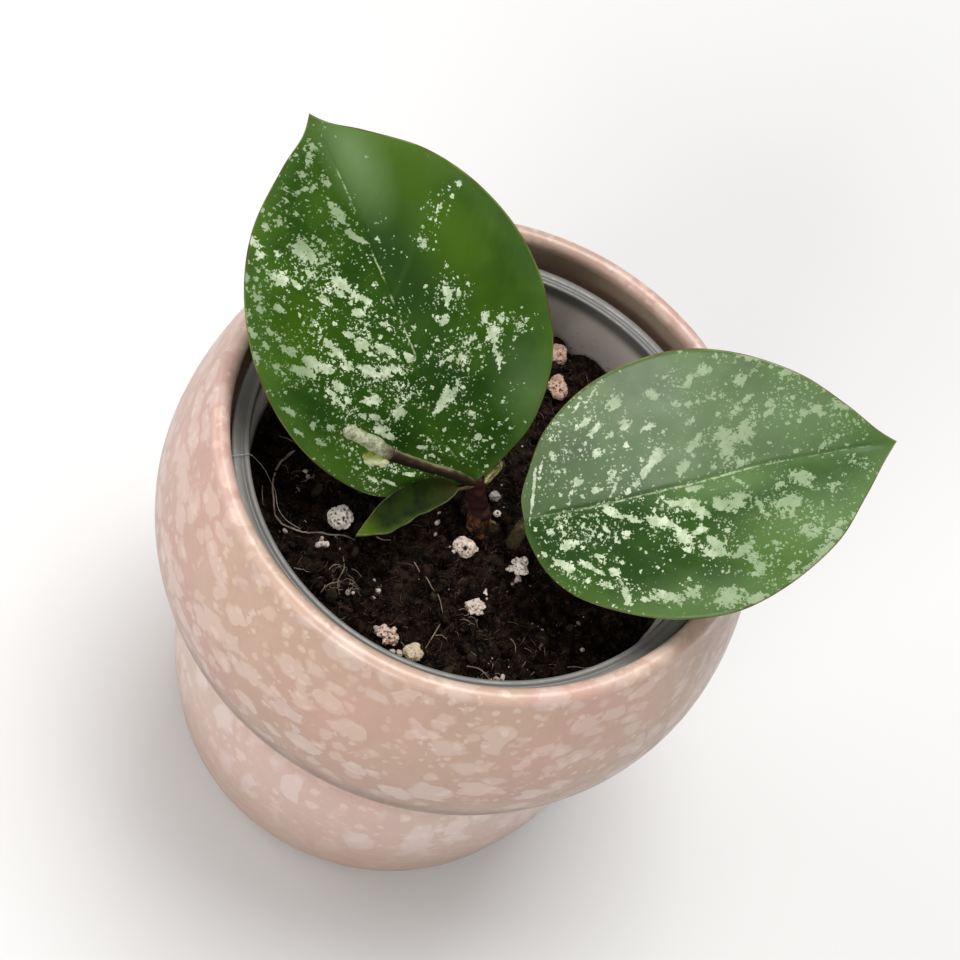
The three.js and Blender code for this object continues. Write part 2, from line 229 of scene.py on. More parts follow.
# Shorthand for adding nodes to one tree. An input is a socket to link or a value to set
class Nodes:
    def __init__(self, tree):
        self.tree = tree

    def fill(self, node, inputs):
        for key, value in inputs.items():
            if isinstance(value, bpy.types.NodeSocket):
                self.tree.links.new(value, node.inputs[key])
            else:
                node.inputs[key].default_value = value
        return node

    def add(self, kind, inputs={}, **settings):
        node = self.tree.nodes.new(kind)
        for name, value in settings.items():
            setattr(node, name, value)
        return self.fill(node, inputs)

    def group(self, group, **values):
        return self.fill(self.add("ShaderNodeGroup", node_tree=group), values).outputs

    def math(self, operation, a, b, clamp=False):
        return self.add("ShaderNodeMath", {0: a, 1: b}, operation=operation, use_clamp=clamp).outputs[0]

    def times(self, a, b):
        return self.math("MULTIPLY", a, b)

    def plus(self, a, b):
        return self.math("ADD", a, b)

    def minus(self, a, b):
        return self.math("SUBTRACT", a, b)

    def larger(self, a, b):
        return self.math("MAXIMUM", a, b)

    # From start, less the value times the amount
    def less(self, start, value, amount):
        return self.minus(start, self.times(value, amount))

    # A noise that swings about zero
    def swing(self, value, amount):
        return self.times(self.minus(value, 0.5), amount)

    def vector(self, operation, a, b, key=1):
        return self.add("ShaderNodeVectorMath", {0: a, key: b}, operation=operation).outputs

    def stretch(self, vector, x, y, z):
        return self.vector("MULTIPLY", vector, (x, y, z))[0]

    def blend(self, share, a, b):
        return self.add("ShaderNodeMix", {0: share, 6: a, 7: b}, data_type="RGBA").outputs[2]

    def step(self, value, low, high, fromValue=0, toValue=1):
        inputs = {0: value, 1: low, 2: high, 3: fromValue, 4: toValue}
        return self.add("ShaderNodeMapRange", inputs, interpolation_type="SMOOTHSTEP").outputs[0]

    def noise(self, vector, scale, detail=3, roughness=0.5, distortion=0, output=0):
        inputs = {"Vector": vector, "Scale": scale, "Detail": detail, "Roughness": roughness}
        inputs["Distortion"] = distortion
        return self.add("ShaderNodeTexNoise", inputs).outputs[output]

    def mark(self, name, output="Fac"):
        return self.add("ShaderNodeAttribute", attribute_name=name).outputs[output]

    # The piece's own coordinates in millimetres
    def place(self):
        place = self.add("ShaderNodeTexCoord").outputs["Object"]
        return self.vector("SCALE", place, 1000, "Scale")[0]


# A material whose colours are laid one over the other
class Look(Nodes):
    def __init__(self, name, roughness, specular=0.5, coat=0, coatRoughness=0.2):
        self.material = bpy.data.materials.new(name)
        self.material.use_nodes = True
        super().__init__(self.material.node_tree)
        self.tree.nodes.clear()
        self.shader = self.add("ShaderNodeBsdfPrincipled", {
            "Roughness": roughness, "Specular IOR Level": specular,
            "Coat Weight": coat, "Coat Roughness": coatRoughness,
        })
        self.add("ShaderNodeOutputMaterial", {0: self.shader.outputs[0]})

    def lay(self, share, colour):
        self.colour = self.blend(share, self.colour, colour)

    def uneven(self, vector, coarse, fine, share):
        return self.group(unevenSkin, Vector=vector, Coarse=coarse, Fine=fine, Share=share)[0]

    # Links the colour, the relief as a height, and the roughness where that isn't even
    def dress(self, height, strength, distance, roughness=None):
        self.fill(self.shader, {"Base Color": self.colour})
        if roughness:
            self.fill(self.shader, {"Roughness": roughness})
        bump = self.add("ShaderNodeBump", {"Height": height, "Strength": strength, "Distance": distance})
        self.fill(self.shader, {"Normal": bump.outputs[0]})
        return self.material


# A node group that reads a vector and the values in inputs, and gives the values named in outputs
def startGroup(name, inputs, *outputs):
    group = bpy.data.node_groups.new(name, "ShaderNodeTree")
    group.interface.new_socket(name="Vector", in_out="INPUT", socket_type="NodeSocketVector")
    for label, value in inputs.items():
        socket = group.interface.new_socket(name=label, in_out="INPUT", socket_type="NodeSocketFloat")
        socket.default_value = value
    for label in outputs:
        group.interface.new_socket(name=label, in_out="OUTPUT", socket_type="NodeSocketFloat")
    start = group.nodes.new("NodeGroupInput")
    end = group.nodes.new("NodeGroupOutput")
    return Nodes(group), start.outputs, end


# Ragged specks: the rougher the noise, the more torn their edges
def makeSpeckles():
    inputs = {"Scale": 1, "Amount": 0.3, "Softness": 0.03}
    group, given, end = startGroup("speckles", inputs, "Mask")
    grain = group.noise(given["Vector"], given["Scale"], 4, 0.62)
    level = group.less(0.76, given["Amount"], 0.4)
    low = group.minus(level, given["Softness"])
    high = group.plus(level, given["Softness"])
    group.fill(end, {"Mask": group.step(grain, low, high)})
    return group.tree


# Rounded spots of uneven size, one or none in each cell
def makeRoundSpots():
    inputs = {"Scale": 1, "Size": 0.5, "Presence": 0.5, "Softness": 0.08, "Warp": 0.4}
    group, given, end = startGroup("roundSpots", inputs, "Mask", "Tone")
    warpScale = group.times(given["Scale"], 1.7)
    warp = group.noise(given["Vector"], warpScale, 2, output="Color")
    centred = group.vector("SUBTRACT", warp, (0.5, 0.5, 0.5))[0]
    reach = group.math("DIVIDE", given["Warp"], given["Scale"])
    pushed = group.vector("SCALE", centred, reach, "Scale")[0]
    vector = group.vector("ADD", given["Vector"], pushed)[0]
    cells = group.add("ShaderNodeTexVoronoi", {"Vector": vector, "Scale": given["Scale"]}).outputs
    parts = group.add("ShaderNodeSeparateColor", {0: cells["Color"]}).outputs
    size = group.times(given["Size"], group.plus(0.35, group.times(parts[0], 0.65)))
    inner = group.minus(size, given["Softness"])
    outer = group.plus(size, given["Softness"])
    spot = group.step(cells["Distance"], inner, outer, 1, 0)
    present = group.math("LESS_THAN", parts[1], given["Presence"])
    group.fill(end, {"Mask": group.times(spot, present), "Tone": parts[2]})
    return group.tree


# Fine unevenness of a surface, as a height
def makeUnevenSkin():
    inputs = {"Coarse": 0.2, "Fine": 2, "Share": 0.3}
    group, given, end = startGroup("unevenSkin", inputs, "Height")
    coarse = group.noise(given["Vector"], given["Coarse"], 2)
    fine = group.noise(given["Vector"], given["Fine"], 4, 0.6)
    group.fill(end, {"Height": group.plus(coarse, group.times(fine, given["Share"]))})
    return group.tree


speckles = makeSpeckles()
roundSpots = makeRoundSpots()
unevenSkin = makeUnevenSkin()
print("shared effects ready")


# The camera stands where the photo was taken from, and three soft panels light the pot
cameraPlan = {
    "place": (0.765, -194.571, 398.013),
    "elevation": 57.4,
    "roll": 25.99,
    "lens": 75,
    "sensorWidth": 36,
}
stagePlan = {
    "floorSize": 8,
    "floorColour": (0.74, 0.74, 0.74, 1),
    "skyColour": (1, 1, 1, 1),
    "skyStrength": 0.28,
    "aimHeight": 90,
}
softboxes = {
    "frontWindow": {
        "azimuth": -102, "elevation": 30, "distance": 1.7,
        "size": (0.8, 0.6), "watts": 14.2, "colour": (1, 0.99, 0.97),
    },
    "leftWindow": {
        "azimuth": 176, "elevation": 26, "distance": 1.7,
        "size": (1.1, 0.9), "watts": 8.2, "colour": (0.97, 0.98, 1),
    },
    "ceilingPanel": {
        "azimuth": 90, "elevation": 77, "distance": 1.6,
        "size": (0.9, 0.9), "watts": 23.5, "colour": (1, 0.99, 0.97),
    },
}


def setCamera(plan):
    camera = bpy.data.cameras.new("camera")
    camera.lens = plan["lens"]
    camera.sensor_width = plan["sensorWidth"]
    camera.clip_start = 0.01
    holder = bpy.data.objects.new("camera", camera)
    tilt = Matrix.Rotation(math.radians(90 - plan["elevation"]), 4, "X")
    roll = Matrix.Rotation(math.radians(plan["roll"]), 4, "Z")
    holder.matrix_world = Matrix.Translation(Vector(plan["place"]) * mm) @ tilt @ roll
    bpy.context.scene.collection.objects.link(holder)
    bpy.context.scene.camera = holder


def setStage(plan, boxes):
    size = plan["floorSize"] / 2
    mesh = bpy.data.meshes.new("floor")
    corners = [(-size, -size, 0), (size, -size, 0), (size, size, 0), (-size, size, 0)]
    mesh.from_pydata(corners, [], [[0, 1, 2, 3]])
    floor = bpy.data.objects.new("floor", mesh)
    bpy.context.scene.collection.objects.link(floor)
    look = Look("paleFloor", roughness=0.8, specular=0.2)
    look.fill(look.shader, {"Base Color": plan["floorColour"]})
    mesh.materials.append(look.material)
    world = bpy.data.worlds.new("studio")
    world.use_nodes = True
    sky = world.node_tree.nodes["Background"]
    sky.inputs["Color"].default_value = plan["skyColour"]
    sky.inputs["Strength"].default_value = plan["skyStrength"]
    bpy.context.scene.world = world
    target = Vector((0, 0, plan["aimHeight"])) * mm
    for name, box in boxes.items():
        lamp = bpy.data.lights.new(name, "AREA")
        lamp.shape = "RECTANGLE"
        lamp.size, lamp.size_y = box["size"]
        lamp.energy = box["watts"]
        lamp.color = box["colour"]
        holder = bpy.data.objects.new(name, lamp)
        azimuth, elevation = math.radians(box["azimuth"]), math.radians(box["elevation"])
        level = math.cos(elevation)
        out = Vector((math.cos(azimuth) * level, math.sin(azimuth) * level, math.sin(elevation)))
        holder.location = target + out * box["distance"]
        holder.rotation_euler = (-out).to_track_quat("-Z", "Y").to_euler()
        holder.visible_camera = False
        bpy.context.scene.collection.objects.link(holder)
    bpy.context.scene.view_settings.view_transform = "Standard"
    bpy.context.scene.view_settings.look = "None"


setCamera(cameraPlan)
setStage(stagePlan, softboxes)
print("camera and light ready")


# Glazed pot, turned about Z: a rounded bowl on a narrower foot. Pairs are radius and height
ceramicPot = {
    "baseRadius": 44, "footRounding": 6,
    "bodyRadius": 46.6, "bodyWidestAt": 28,
    "waistRadius": 44.6, "waistHeight": 50, "waistToBowl": [(45.2, 52.2), (46.9, 54.5)],
    "bowlCentre": (21.7, 77.5), "bowlCurve": 34.1, "bowlLowerAngle": -36,
    "shoulderBend": 1.7, "rimRadius": 47.8, "rimHeight": 105, "rimRounding": 1.8, "rimInnerAngle": 215,
    "inside": [
        (47.3, 100.8), (49.3, 93), (50.6, 84), (50.4, 73),
        (47.2, 62), (41.8, 53.8), (40.2, 48), (41.4, 30), (39.7, 16),
    ],
    "floorHeight": 8.5, "floorRounding": 4,
    "sides": 200,
    "wobble": 0.1,
    # round cells and pores of the glaze
    "bowlCells": {"Scale": 0.17, "Size": 0.7, "Presence": 0.75, "Softness": 0.1, "Warp": 0.7},
    "footCells": {"Scale": 0.18, "Size": 0.66, "Presence": 0.72, "Softness": 0.14, "Warp": 0.6},
    "middleCells": {"Scale": 0.3, "Size": 0.5, "Presence": 0.5, "Softness": 0.1, "Warp": 0.7},
    "smallCells": {"Scale": 0.6, "Size": 0.48, "Presence": 0.4, "Softness": 0.12, "Warp": 0.8},
    "pores": {"Scale": 0.11, "Size": 0.05, "Presence": 0.1, "Softness": 0.02, "Warp": 0.2},
    "bowlCellShare": 0.74, "middleCellShare": 0.5, "smallCellShare": 0.46,
    "footCellShare": 0.66, "footPale": 0.36,
    # heights from and to, with the strength at each end
    "flecksFrom": (72, 92), "footTop": (48, 51, 1, 0),
    # painted shade: the bowl turning under, the foot low down and under the bowl, and the crease at the
    # waist; a painted highlight on the rim's crest
    "shadeTurningUnder": [(64, 96, 0.45, 0), (69, 75, 0.36, 0)],
    "footShadeLow": (10, 34, 0.8, 0), "shadeUnderBowl": (41, 46, 0, 0.5),
    "rimHighlightBand": (104.8, 106.3, 0, 0.12), "creaseShadeFrom": (47.6, 50.2), "creaseShadeTo": (51.2, 53.2, 1, 0),
    "tan": paint(188, 156, 136), "pink": paint(192, 150, 137), "shade": paint(174, 142, 122),
    "cream": paint(224, 202, 186), "lilac": paint(216, 197, 191), "inner": paint(255, 230, 208),
    # the first colour below is painted shade for the crease and the bowl's underside, and also the grit of
    # the bare clay; the second is a painted highlight for the rim
    "creaseShadeAndGrit": paint(104, 72, 54), "rimHighlightPale": paint(232, 214, 204), "biscuit": paint(214, 196, 178),
    "speck": paint(70, 52, 44),
}


def ceramicOutline(plan):
    rounding = plan["footRounding"]
    widest = plan["bodyWidestAt"]
    waist = plan["waistHeight"]
    outline = [(0, 0), (12, 0), (24, 0), (33, 0)]
    outline += arcPoints(plan["baseRadius"] - rounding, rounding, rounding, -90, 0, 10)
    z = rounding + 2
    while z < waist - 1:
        lower = z < widest
        span = widest - rounding if lower else waist - widest
        drop = plan["bodyRadius"] - plan["baseRadius" if lower else "waistRadius"]
        outline.append((plan["bodyRadius"] - drop * ((z - widest) / span) ** 2, z))
        z += 2
    waistPoints = [(plan["waistRadius"], waist), *plan["waistToBowl"]]
    outline += [tuple(splineAt(waistPoints, step / 6)) for step in range(6)]
    centreRadius, centreHeight = plan["bowlCentre"]
    outline += arcPoints(centreRadius, centreHeight, plan["bowlCurve"], plan["bowlLowerAngle"], 0, 16)
    widestBowl = centreRadius + plan["bowlCurve"]
    rimOuter = plan["rimRadius"] + plan["rimRounding"]
    for step in range(1, 16):
        rise = step / 16
        radius = widestBowl - (widestBowl - rimOuter) * rise ** plan["shoulderBend"]
        outline.append((radius, mix(centreHeight, plan["rimHeight"], rise)))
    rim = (plan["rimRadius"], plan["rimHeight"], plan["rimRounding"])
    outline += arcPoints(*rim, 0, plan["rimInnerAngle"], 14)
    outline += [tuple(splineAt(plan["inside"], step / 40)) for step in range(41)]
    floor, rounding = plan["floorHeight"], plan["floorRounding"]
    outline += arcPoints(plan["inside"][-1][0] - rounding, floor + rounding, rounding, 0, -90, 6)
    outline += [(24, floor), (12, floor), (0, floor)]
    return outline


def glazeMaterial(plan):
    look = Look("mottledGlaze", roughness=0.36, specular=0.45, coat=0.2, coatRoughness=0.28)
    place = look.place()
    height = look.mark("height")
    inside = look.mark("inside")
    tall = look.stretch(place, 1, 1, 0.5)
    upper = look.step(height, *plan["flecksFrom"])
    foot = look.step(height, *plan["footTop"])
    bowl = look.minus(1, foot)

    def cellsOf(vector, kind):
        return look.group(roundSpots, Vector=vector, **plan[kind])

    # ground: tan, clouded with pink and streaked downward
    cloud = look.noise(place, 0.035, 3, 0.55)
    look.colour = look.blend(look.step(cloud, 0.42, 0.6), plan["tan"], plan["pink"])
    streak = look.noise(tall, 0.13, 4, 0.6)
    look.lay(look.step(streak, 0.35, 0.7, 0, 0.42), plan["shade"])
    look.lay(look.times(foot, plan["footPale"]), plan["lilac"])
    # wide soft cells below, drawn out downward on the foot; small round flecks above
    wide = cellsOf(look.stretch(place, 1, 1, 1.5), "bowlCells")
    bowlShare = look.times(wide["Mask"], look.less(plan["bowlCellShare"], upper, 0.38))
    bowlCell = look.blend(wide["Tone"], plan["cream"], plan["lilac"])
    look.lay(look.times(bowlShare, bowl), bowlCell)
    middling = cellsOf(place, "middleCells")["Mask"]
    look.lay(look.times(middling, look.less(plan["middleCellShare"], upper, 0.2)), plan["cream"])
    footShare = look.times(cellsOf(tall, "footCells")["Mask"], look.times(foot, plan["footCellShare"]))
    look.lay(footShare, plan["lilac"])
    patchy = look.step(look.noise(place, 0.06, 2), 0.35, 0.6, 0.25, 1)
    small = cellsOf(place, "smallCells")["Mask"]
    look.lay(look.times(small, look.times(patchy, plan["smallCellShare"])), plan["cream"])
    # painted shade: the bowl darkens as it turns under to the waist
    turned = look.plus(*[look.step(height, *step) for step in plan["shadeTurningUnder"]])
    look.lay(look.times(turned, bowl), plan["creaseShadeAndGrit"])
    # painted shade: the foot darkens toward the floor and close under the bowl
    look.lay(look.step(height, *plan["footShadeLow"]), plan["shade"])
    look.lay(look.times(foot, look.step(height, *plan["shadeUnderBowl"])), plan["shade"])
    # painted highlight: the rim's crest is paled
    crest = look.times(look.step(height, *plan["rimHighlightBand"]), look.minus(1, inside))
    look.lay(crest, plan["rimHighlightPale"])
    # painted shade: a broken brown line darkens the crease at the waist
    line = look.times(look.step(height, *plan["creaseShadeFrom"]), look.step(height, *plan["creaseShadeTo"]))
    broken = look.step(look.noise(place, 0.12, 3), 0.3, 0.6, 0.45, 0.9)
    look.lay(look.times(line, broken), plan["creaseShadeAndGrit"])
    look.lay(look.times(cellsOf(place, "pores")["Mask"], 0.8), plan["speck"])
    # the inside is plain and painted lighter than the glaze, as painted light on its shaded wall; the foot's
    # ring is bare clay
    look.lay(inside, look.blend(look.noise(place, 0.08, 4), plan["inner"], plan["tan"]))
    bare = look.mark("bare")
    grit = look.group(speckles, Vector=place, Scale=1.5, Amount=0.5, Softness=0.05)[0]
    look.lay(bare, look.blend(grit, plan["biscuit"], plan["creaseShadeAndGrit"]))
    look.fill(look.shader, {"Coat Weight": look.math("SUBTRACT", 0.2, look.times(bare, 0.2), True)})
    shiny = look.step(look.noise(place, 0.3, 3), 0.3, 0.7, 0.32, 0.42)
    roughness = look.plus(shiny, look.times(bare, 0.5))
    return look.dress(look.uneven(place, 0.3, 1.1, 0.1), 0.3, 0.0008, roughness)


def buildCeramicPot(plan):
    outline = ceramicOutline(plan)

    def wobble(angle, z):
        return plan["wobble"] * (math.sin(3 * angle + z / 17) + 0.6 * math.sin(5 * angle - z / 9)) / 1.6

    shape = turnedShape(outline, plan["sides"], wobble)
    topAt = max(range(len(outline)), key=lambda i: outline[i][1])
    heights, insides, bares = [], [], []
    for i, (radius, z) in enumerate(outline):
        count = 1 if radius < 1e-6 else plan["sides"]
        heights += [z] * count
        insides += [smooth(topAt + 2, topAt + 9, i)] * count  # full a few rings below the crest
        bares += [1 if z < 0.3 and i < topAt else 0] * count
    shape["marks"] = {"height": heights, "inside": insides, "bare": bares}
    makePiece("ceramicPot", [shape], [glazeMaterial(plan)], "glaze", "ceramic_pot")
    print("ceramic pot,", plan["rimHeight"] + plan["rimRounding"], "mm high")


buildCeramicPot(ceramicPot)


# Plastic pot with a grooved rim, standing a little off the glazed pot's middle
nurseryPot = {
    "x": 0.25, "y": -1.2, "bottom": 8.8, "height": 102, "rimOuter": 45, "rimInner": 41.9, "baseInner": 31.9,
    "wall": 1.1, "skirtDepth": 8, "rimBevel": 0.4, "grooveInset": 1.3,
    "holes": 6, "holeRadius": 3.5, "holeCircle": 21, "holeSides": 24, "sides": 180,
    # heights from and to, with the strength at each end
    "paleRim": (98, 100.5, 1, 0), "dusty": (90, 97, 1, 0), "dustFilm": 0.3,
    "grey": paint(114, 112, 109), "deep": paint(94, 92, 90),
    "pale": paint(224, 214, 208), "dust": paint(70, 56, 48),
}


def nurseryInnerRadius(plan, z):
    low = plan["bottom"] + plan["wall"]
    return mix(plan["baseInner"], plan["rimInner"], (z - low) / (plan["height"] - low))


def plasticMaterial(plan):
    look = Look("greyNurseryPlastic", roughness=0.36, specular=0.5)
    place = look.place()
    height = look.mark("height")
    cloud = look.noise(place, 0.12, 4, 0.6)
    look.colour = look.blend(look.step(cloud, 0.3, 0.7, 0, 0.35), plan["grey"], plan["deep"])
    look.lay(look.step(height, *plan["paleRim"]), plan["pale"])
    # splashes of soil dust low on the wall, just over the soil
    low = look.step(height, *plan["dusty"])
    specks = look.group(speckles, Vector=place, Scale=0.9, Amount=0.3, Softness=0.05)[0]
    film = look.times(low, plan["dustFilm"])
    dust = look.larger(look.times(specks, low), film)
    look.lay(dust, plan["dust"])
    roughness = look.step(look.noise(place, 0.7, 3), 0.3, 0.7, 0.3, 0.45)
    return look.dress(look.uneven(place, 0.2, 3, 0.05), 0.2, 0.0004, roughness)


def buildNurseryPot(plan):
    bottom, top, wall, bevel = plan["bottom"], plan["height"], plan["wall"], plan["rimBevel"]
    outer, inner = plan["rimOuter"], plan["rimInner"]
    groove = inner + plan["grooveInset"]
    floorTop = bottom + wall
    under = top - wall
    skirt = top - plan["skirtDepth"]
    outline = [(0, bottom), (10, bottom), (26, bottom), (plan["baseInner"] - 0.4, bottom)]
    outline += arcPoints(plan["baseInner"] - 0.1, floorTop - 0.1, wall, -90, -10, 5)
    outline += [(nurseryInnerRadius(plan, z) + wall, z) for z in (floorTop + 2, 40, 70, under - 0.3)]
    outline += [(outer - wall - 0.3, under), (outer - wall, under - 0.3), (outer - wall, skirt + 0.2)]
    outline += [(outer - wall + 0.3, skirt), (outer - 0.3, skirt), (outer, skirt + 0.3)]
    outline += [(outer, mix(skirt, top, share)) for share in (0.35, 0.7)]
    outline += arcPoints(outer - bevel, top - bevel, bevel, 0, 90, 5)
    outline += [(groove + 0.5, top), (groove + 0.25, top - 0.12), (groove, top - bevel)]
    outline += [(groove - 0.25, top - 0.12), (groove - 0.5, top)]
    outline += arcPoints(inner + bevel, top - bevel, bevel, 90, 180, 5)
    outline += [(nurseryInnerRadius(plan, z), z) for z in (99, 95, 90, 70, 40, floorTop + 0.6)]
    outline += [(plan["baseInner"] - 0.8, floorTop), (26, floorTop), (10, floorTop), (0, floorTop)]
    shape = turnedShape(outline, plan["sides"])
    shape["marks"] = {"height": [point[2] for point in shape["points"]]}
    shape["points"] = [(x + plan["x"], y + plan["y"], z) for x, y, z in shape["points"]]
    pot = makePiece("nurseryPot", [shape], [plasticMaterial(plan)], "nursery_plastic", "nursery_pot")
    # drain holes, drilled through the floor
    drills = bmesh.new()
    radius = plan["holeRadius"] * mm
    for hole in range(plan["holes"]):
        angle = 2 * math.pi * hole / plan["holes"]
        x = plan["x"] + plan["holeCircle"] * math.cos(angle)
        y = plan["y"] + plan["holeCircle"] * math.sin(angle)
        bmesh.ops.create_cone(
            drills, cap_ends=True, segments=plan["holeSides"], radius1=radius, radius2=radius,
            depth=4 * wall * mm, matrix=Matrix.Translation(Vector((x, y, bottom)) * mm),
        )
    drillMesh = bpy.data.meshes.new("drills")
    drills.to_mesh(drillMesh)
    drills.free()
    drill = bpy.data.objects.new("drills", drillMesh)
    bpy.context.scene.collection.objects.link(drill)
    cut = pot.modifiers.new("drainHoles", "BOOLEAN")
    cut.operation = "DIFFERENCE"
    cut.object = drill
    cut.solver = "EXACT"
    bpy.context.view_layer.update()
    drilled = bpy.data.meshes.new_from_object(pot.evaluated_get(bpy.context.evaluated_depsgraph_get()))
    pot.modifiers.clear()
    pot.data = drilled
    bpy.data.objects.remove(drill)
    print("nursery pot,", len(drilled.polygons), "faces")


buildNurseryPot(nurseryPot)


# Potting mix up to the plastic pot's shoulder, with a low heap round the stem
soilBed = {
    "level": 91, "bottom": 10.2, "shoulder": 3, "gap": 0.3,
    "heap": (4.7, -7.8), "heapHeight": 1.2, "heapSpread": 14,
    "rings": 96, "sides": 230,
    "black": paint(13, 9, 7), "brown": paint(51, 37, 28), "red": paint(66, 37, 26),
    "olive": paint(58, 52, 41), "grit": paint(120, 100, 84), "straw": paint(132, 108, 88),
    "seed": 7, "crumbs": 3000, "crumbSize": (0.18, 0.55), "bigCrumbs": 700, "bigCrumbSize": (0.5, 1.1),
    "fibres": 3600, "fibreLength": (0.7, 3.2), "fibreRadius": (0.025, 0.06),
    "fibreRise": 0.7, "fibreEdge": 3.2,
    # flat pieces of peat: x, y, half length, half width, turn
    "clods": [
        (-1, -29, 4.6, 3.6, 30), (14.5, -27.5, 3, 2.2, -20),
        (22.5, -24.5, 3.4, 2.4, 60), (-24.5, -12, 2.6, 1.9, 80),
        (-26.5, -19, 2, 1.4, 10), (6.5, -13.5, 2.6, 1.8, 40), (20, 20, 3.4, 2.5, 15),
    ],
}


def soilHeight(x, y):
    waves = 0.5 * math.sin(0.31 * x + 1.1) * math.cos(0.27 * y - 0.4)
    waves += 0.35 * math.sin(0.7 * x - 0.5 * y) + 0.25 * math.sin(1.3 * y + 0.9 * x)
    fromStem = math.hypot(x - soilBed["heap"][0], y - soilBed["heap"][1])
    heap = soilBed["heapHeight"] * math.exp(-((fromStem / soilBed["heapSpread"]) ** 2))
    return soilBed["level"] + waves + heap - 0.0006 * (x * x + y * y)


# The crumbly top: lumps, pits and fine grit on the soil's even height
def crumbHeight(x, y):
    clods = 0
    for cx, cy, half, width, turn in soilBed["clods"]:
        angle = math.radians(turn)
        along = ((x - cx) * math.cos(angle) + (y - cy) * math.sin(angle)) / half
        across = ((y - cy) * math.cos(angle) - (x - cx) * math.sin(angle)) / width
        clods = max(clods, 1 - smooth(0.7, 1.15, math.hypot(along, across)))
    lumps = 1.3 * ripple(x, y, 3, 0.2) + 1.3 * abs(ripple(x, y, 9, 0.42))
    grit = 0.7 * ripple(x, y, 5, 0.9) + 0.35 * ripple(x, y, 1, 2.2)
    pits = 1.6 * smooth(0.16, 0.42, ripple(x, y, 20, 0.3))
    return soilHeight(x, y) + (lumps + grit - pits) * (1 - 0.75 * clods) + 0.7 * clods - 0.4


def soilMaterial(plan):
    look = Look("pottingMix", roughness=0.95, specular=0.06)
    place = look.place()
    tone = look.mark("tone")
    mottle = look.noise(place, 0.55, 5, 0.65)
    look.colour = look.blend(look.step(mottle, 0.42, 0.68), plan["black"], plan["brown"])
    fibrous = look.noise(look.stretch(place, 0.35, 1.6, 1), 1.4, 4, 0.7, 0.6)
    look.lay(look.step(fibrous, 0.56, 0.72, 0, 0.6), plan["red"])
    look.lay(look.step(tone, 0.55, 1), plan["olive"])
    grit = look.group(speckles, Vector=place, Scale=2.6, Amount=0.28, Softness=0.02)[0]
    look.lay(look.times(grit, 0.5), plan["grit"])
    return look.dress(look.uneven(place, 1.2, 4.5, 0.5), 0.9, 0.0012)


def fibreMaterial(plan):
    look = Look("peatFibre", roughness=0.8, specular=0.15)
    tone = look.mark("tone")
    place = look.place()
    look.colour = look.blend(tone, plan["brown"], plan["straw"])
    darker = look.step(look.noise(place, 1.1, 3), 0.4, 0.65, 0, 0.6)
    look.lay(darker, plan["black"])
    return look.dress(look.noise(place, 5, 2), 0.4, 0.0002)


def spotInPot(dice, edge):
    radius = edge * math.sqrt(dice.random())
    angle = 2 * math.pi * dice.random()
    return nurseryPot["x"] + radius * math.cos(angle), nurseryPot["y"] + radius * math.sin(angle)


# A path laid over the soil: where it isn't sunk, it keeps clear of the crumbs by the lift
def layOnSoil(path, steps, lift):
    points = []
    for step in range(steps + 1):
        x, y, over = splineAt(path, step / steps)
        seat = crumbHeight(x, y) + lift if over > 0 else 0
        points.append((x, y, max(soilHeight(x, y) + over, seat)))
    return points


def clearOfGrains(x, y, size):
    for plan in grains.values():
        if math.hypot(x - plan["x"], y - plan["y"]) <= 0.4 * plan["size"] + size:
            return False
    return True


def makeSoilBed(plan, skin, edge):
    low = nurseryInnerRadius(nurseryPot, plan["bottom"]) - plan["gap"]
    shoulder = plan["level"] - plan["shoulder"]
    outline = [(0, plan["bottom"]), (low * 0.5, plan["bottom"]), (low, plan["bottom"])]
    for share in (0.25, 0.5, 0.75, 1):
        outline.append((mix(low, edge, share), mix(plan["bottom"], shoulder, share)))
    outline += [(edge * ring / plan["rings"], plan["level"]) for ring in range(plan["rings"], -1, -1)]
    bed = turnedShape(outline, plan["sides"])
    points = []
    for x, y, z in bed["points"]:
        x, y = x + nurseryPot["x"], y + nurseryPot["y"]
        points.append((x, y, crumbHeight(x, y) if z > plan["level"] - 0.01 else z))
    bed["points"] = points
    bed["marks"] = {"tone": [0.4 + 0.6 * ripple(x, y, 0, 0.1) for x, y, z in points]}
    makePiece("soilBed", [bed], [skin], "soil", "soil")


def makeCrumbs(plan, skin, edge, dice):
    crumbs = {"points": [], "faces": [], "marks": {"tone": []}}
    bigSize, sizeSpread = plan["bigCrumbSize"]
    for i in range(plan["crumbs"] + plan["bigCrumbs"]):
        big = i < plan["bigCrumbs"]
        ball, faces = ballShape(2 if big else 1)
        size = bigSize + sizeSpread * dice.random() ** 2 if big else dice.uniform(*plan["crumbSize"])
        x, y = spotInPot(dice, edge - 1.3 * size)
        if not clearOfGrains(x, y, size):
            continue
        shape = [size * dice.uniform(0.6, 1.3) for _ in range(3)]
        turn = Euler([dice.uniform(0, 6.3) for _ in range(3)]).to_matrix()
        lift = crumbHeight(x, y) + size * dice.uniform(-0.15, 0.35)
        tone = dice.random() ** 2
        start = len(crumbs["points"])
        for out in ball:
            spot = turn @ Vector((out.x * shape[0], out.y * shape[1], out.z * shape[2]))
            spot *= 1 + 0.5 * ripple(spot.x + x, spot.y + y, spot.z, 1.4 / size)
            crumbs["points"].append((x + spot.x, y + spot.y, lift + spot.z))
            crumbs["marks"]["tone"].append(tone)
        crumbs["faces"] += [[start + corner for corner in face] for face in faces]
    makePiece("soilCrumbs", [crumbs], [skin], "soil")


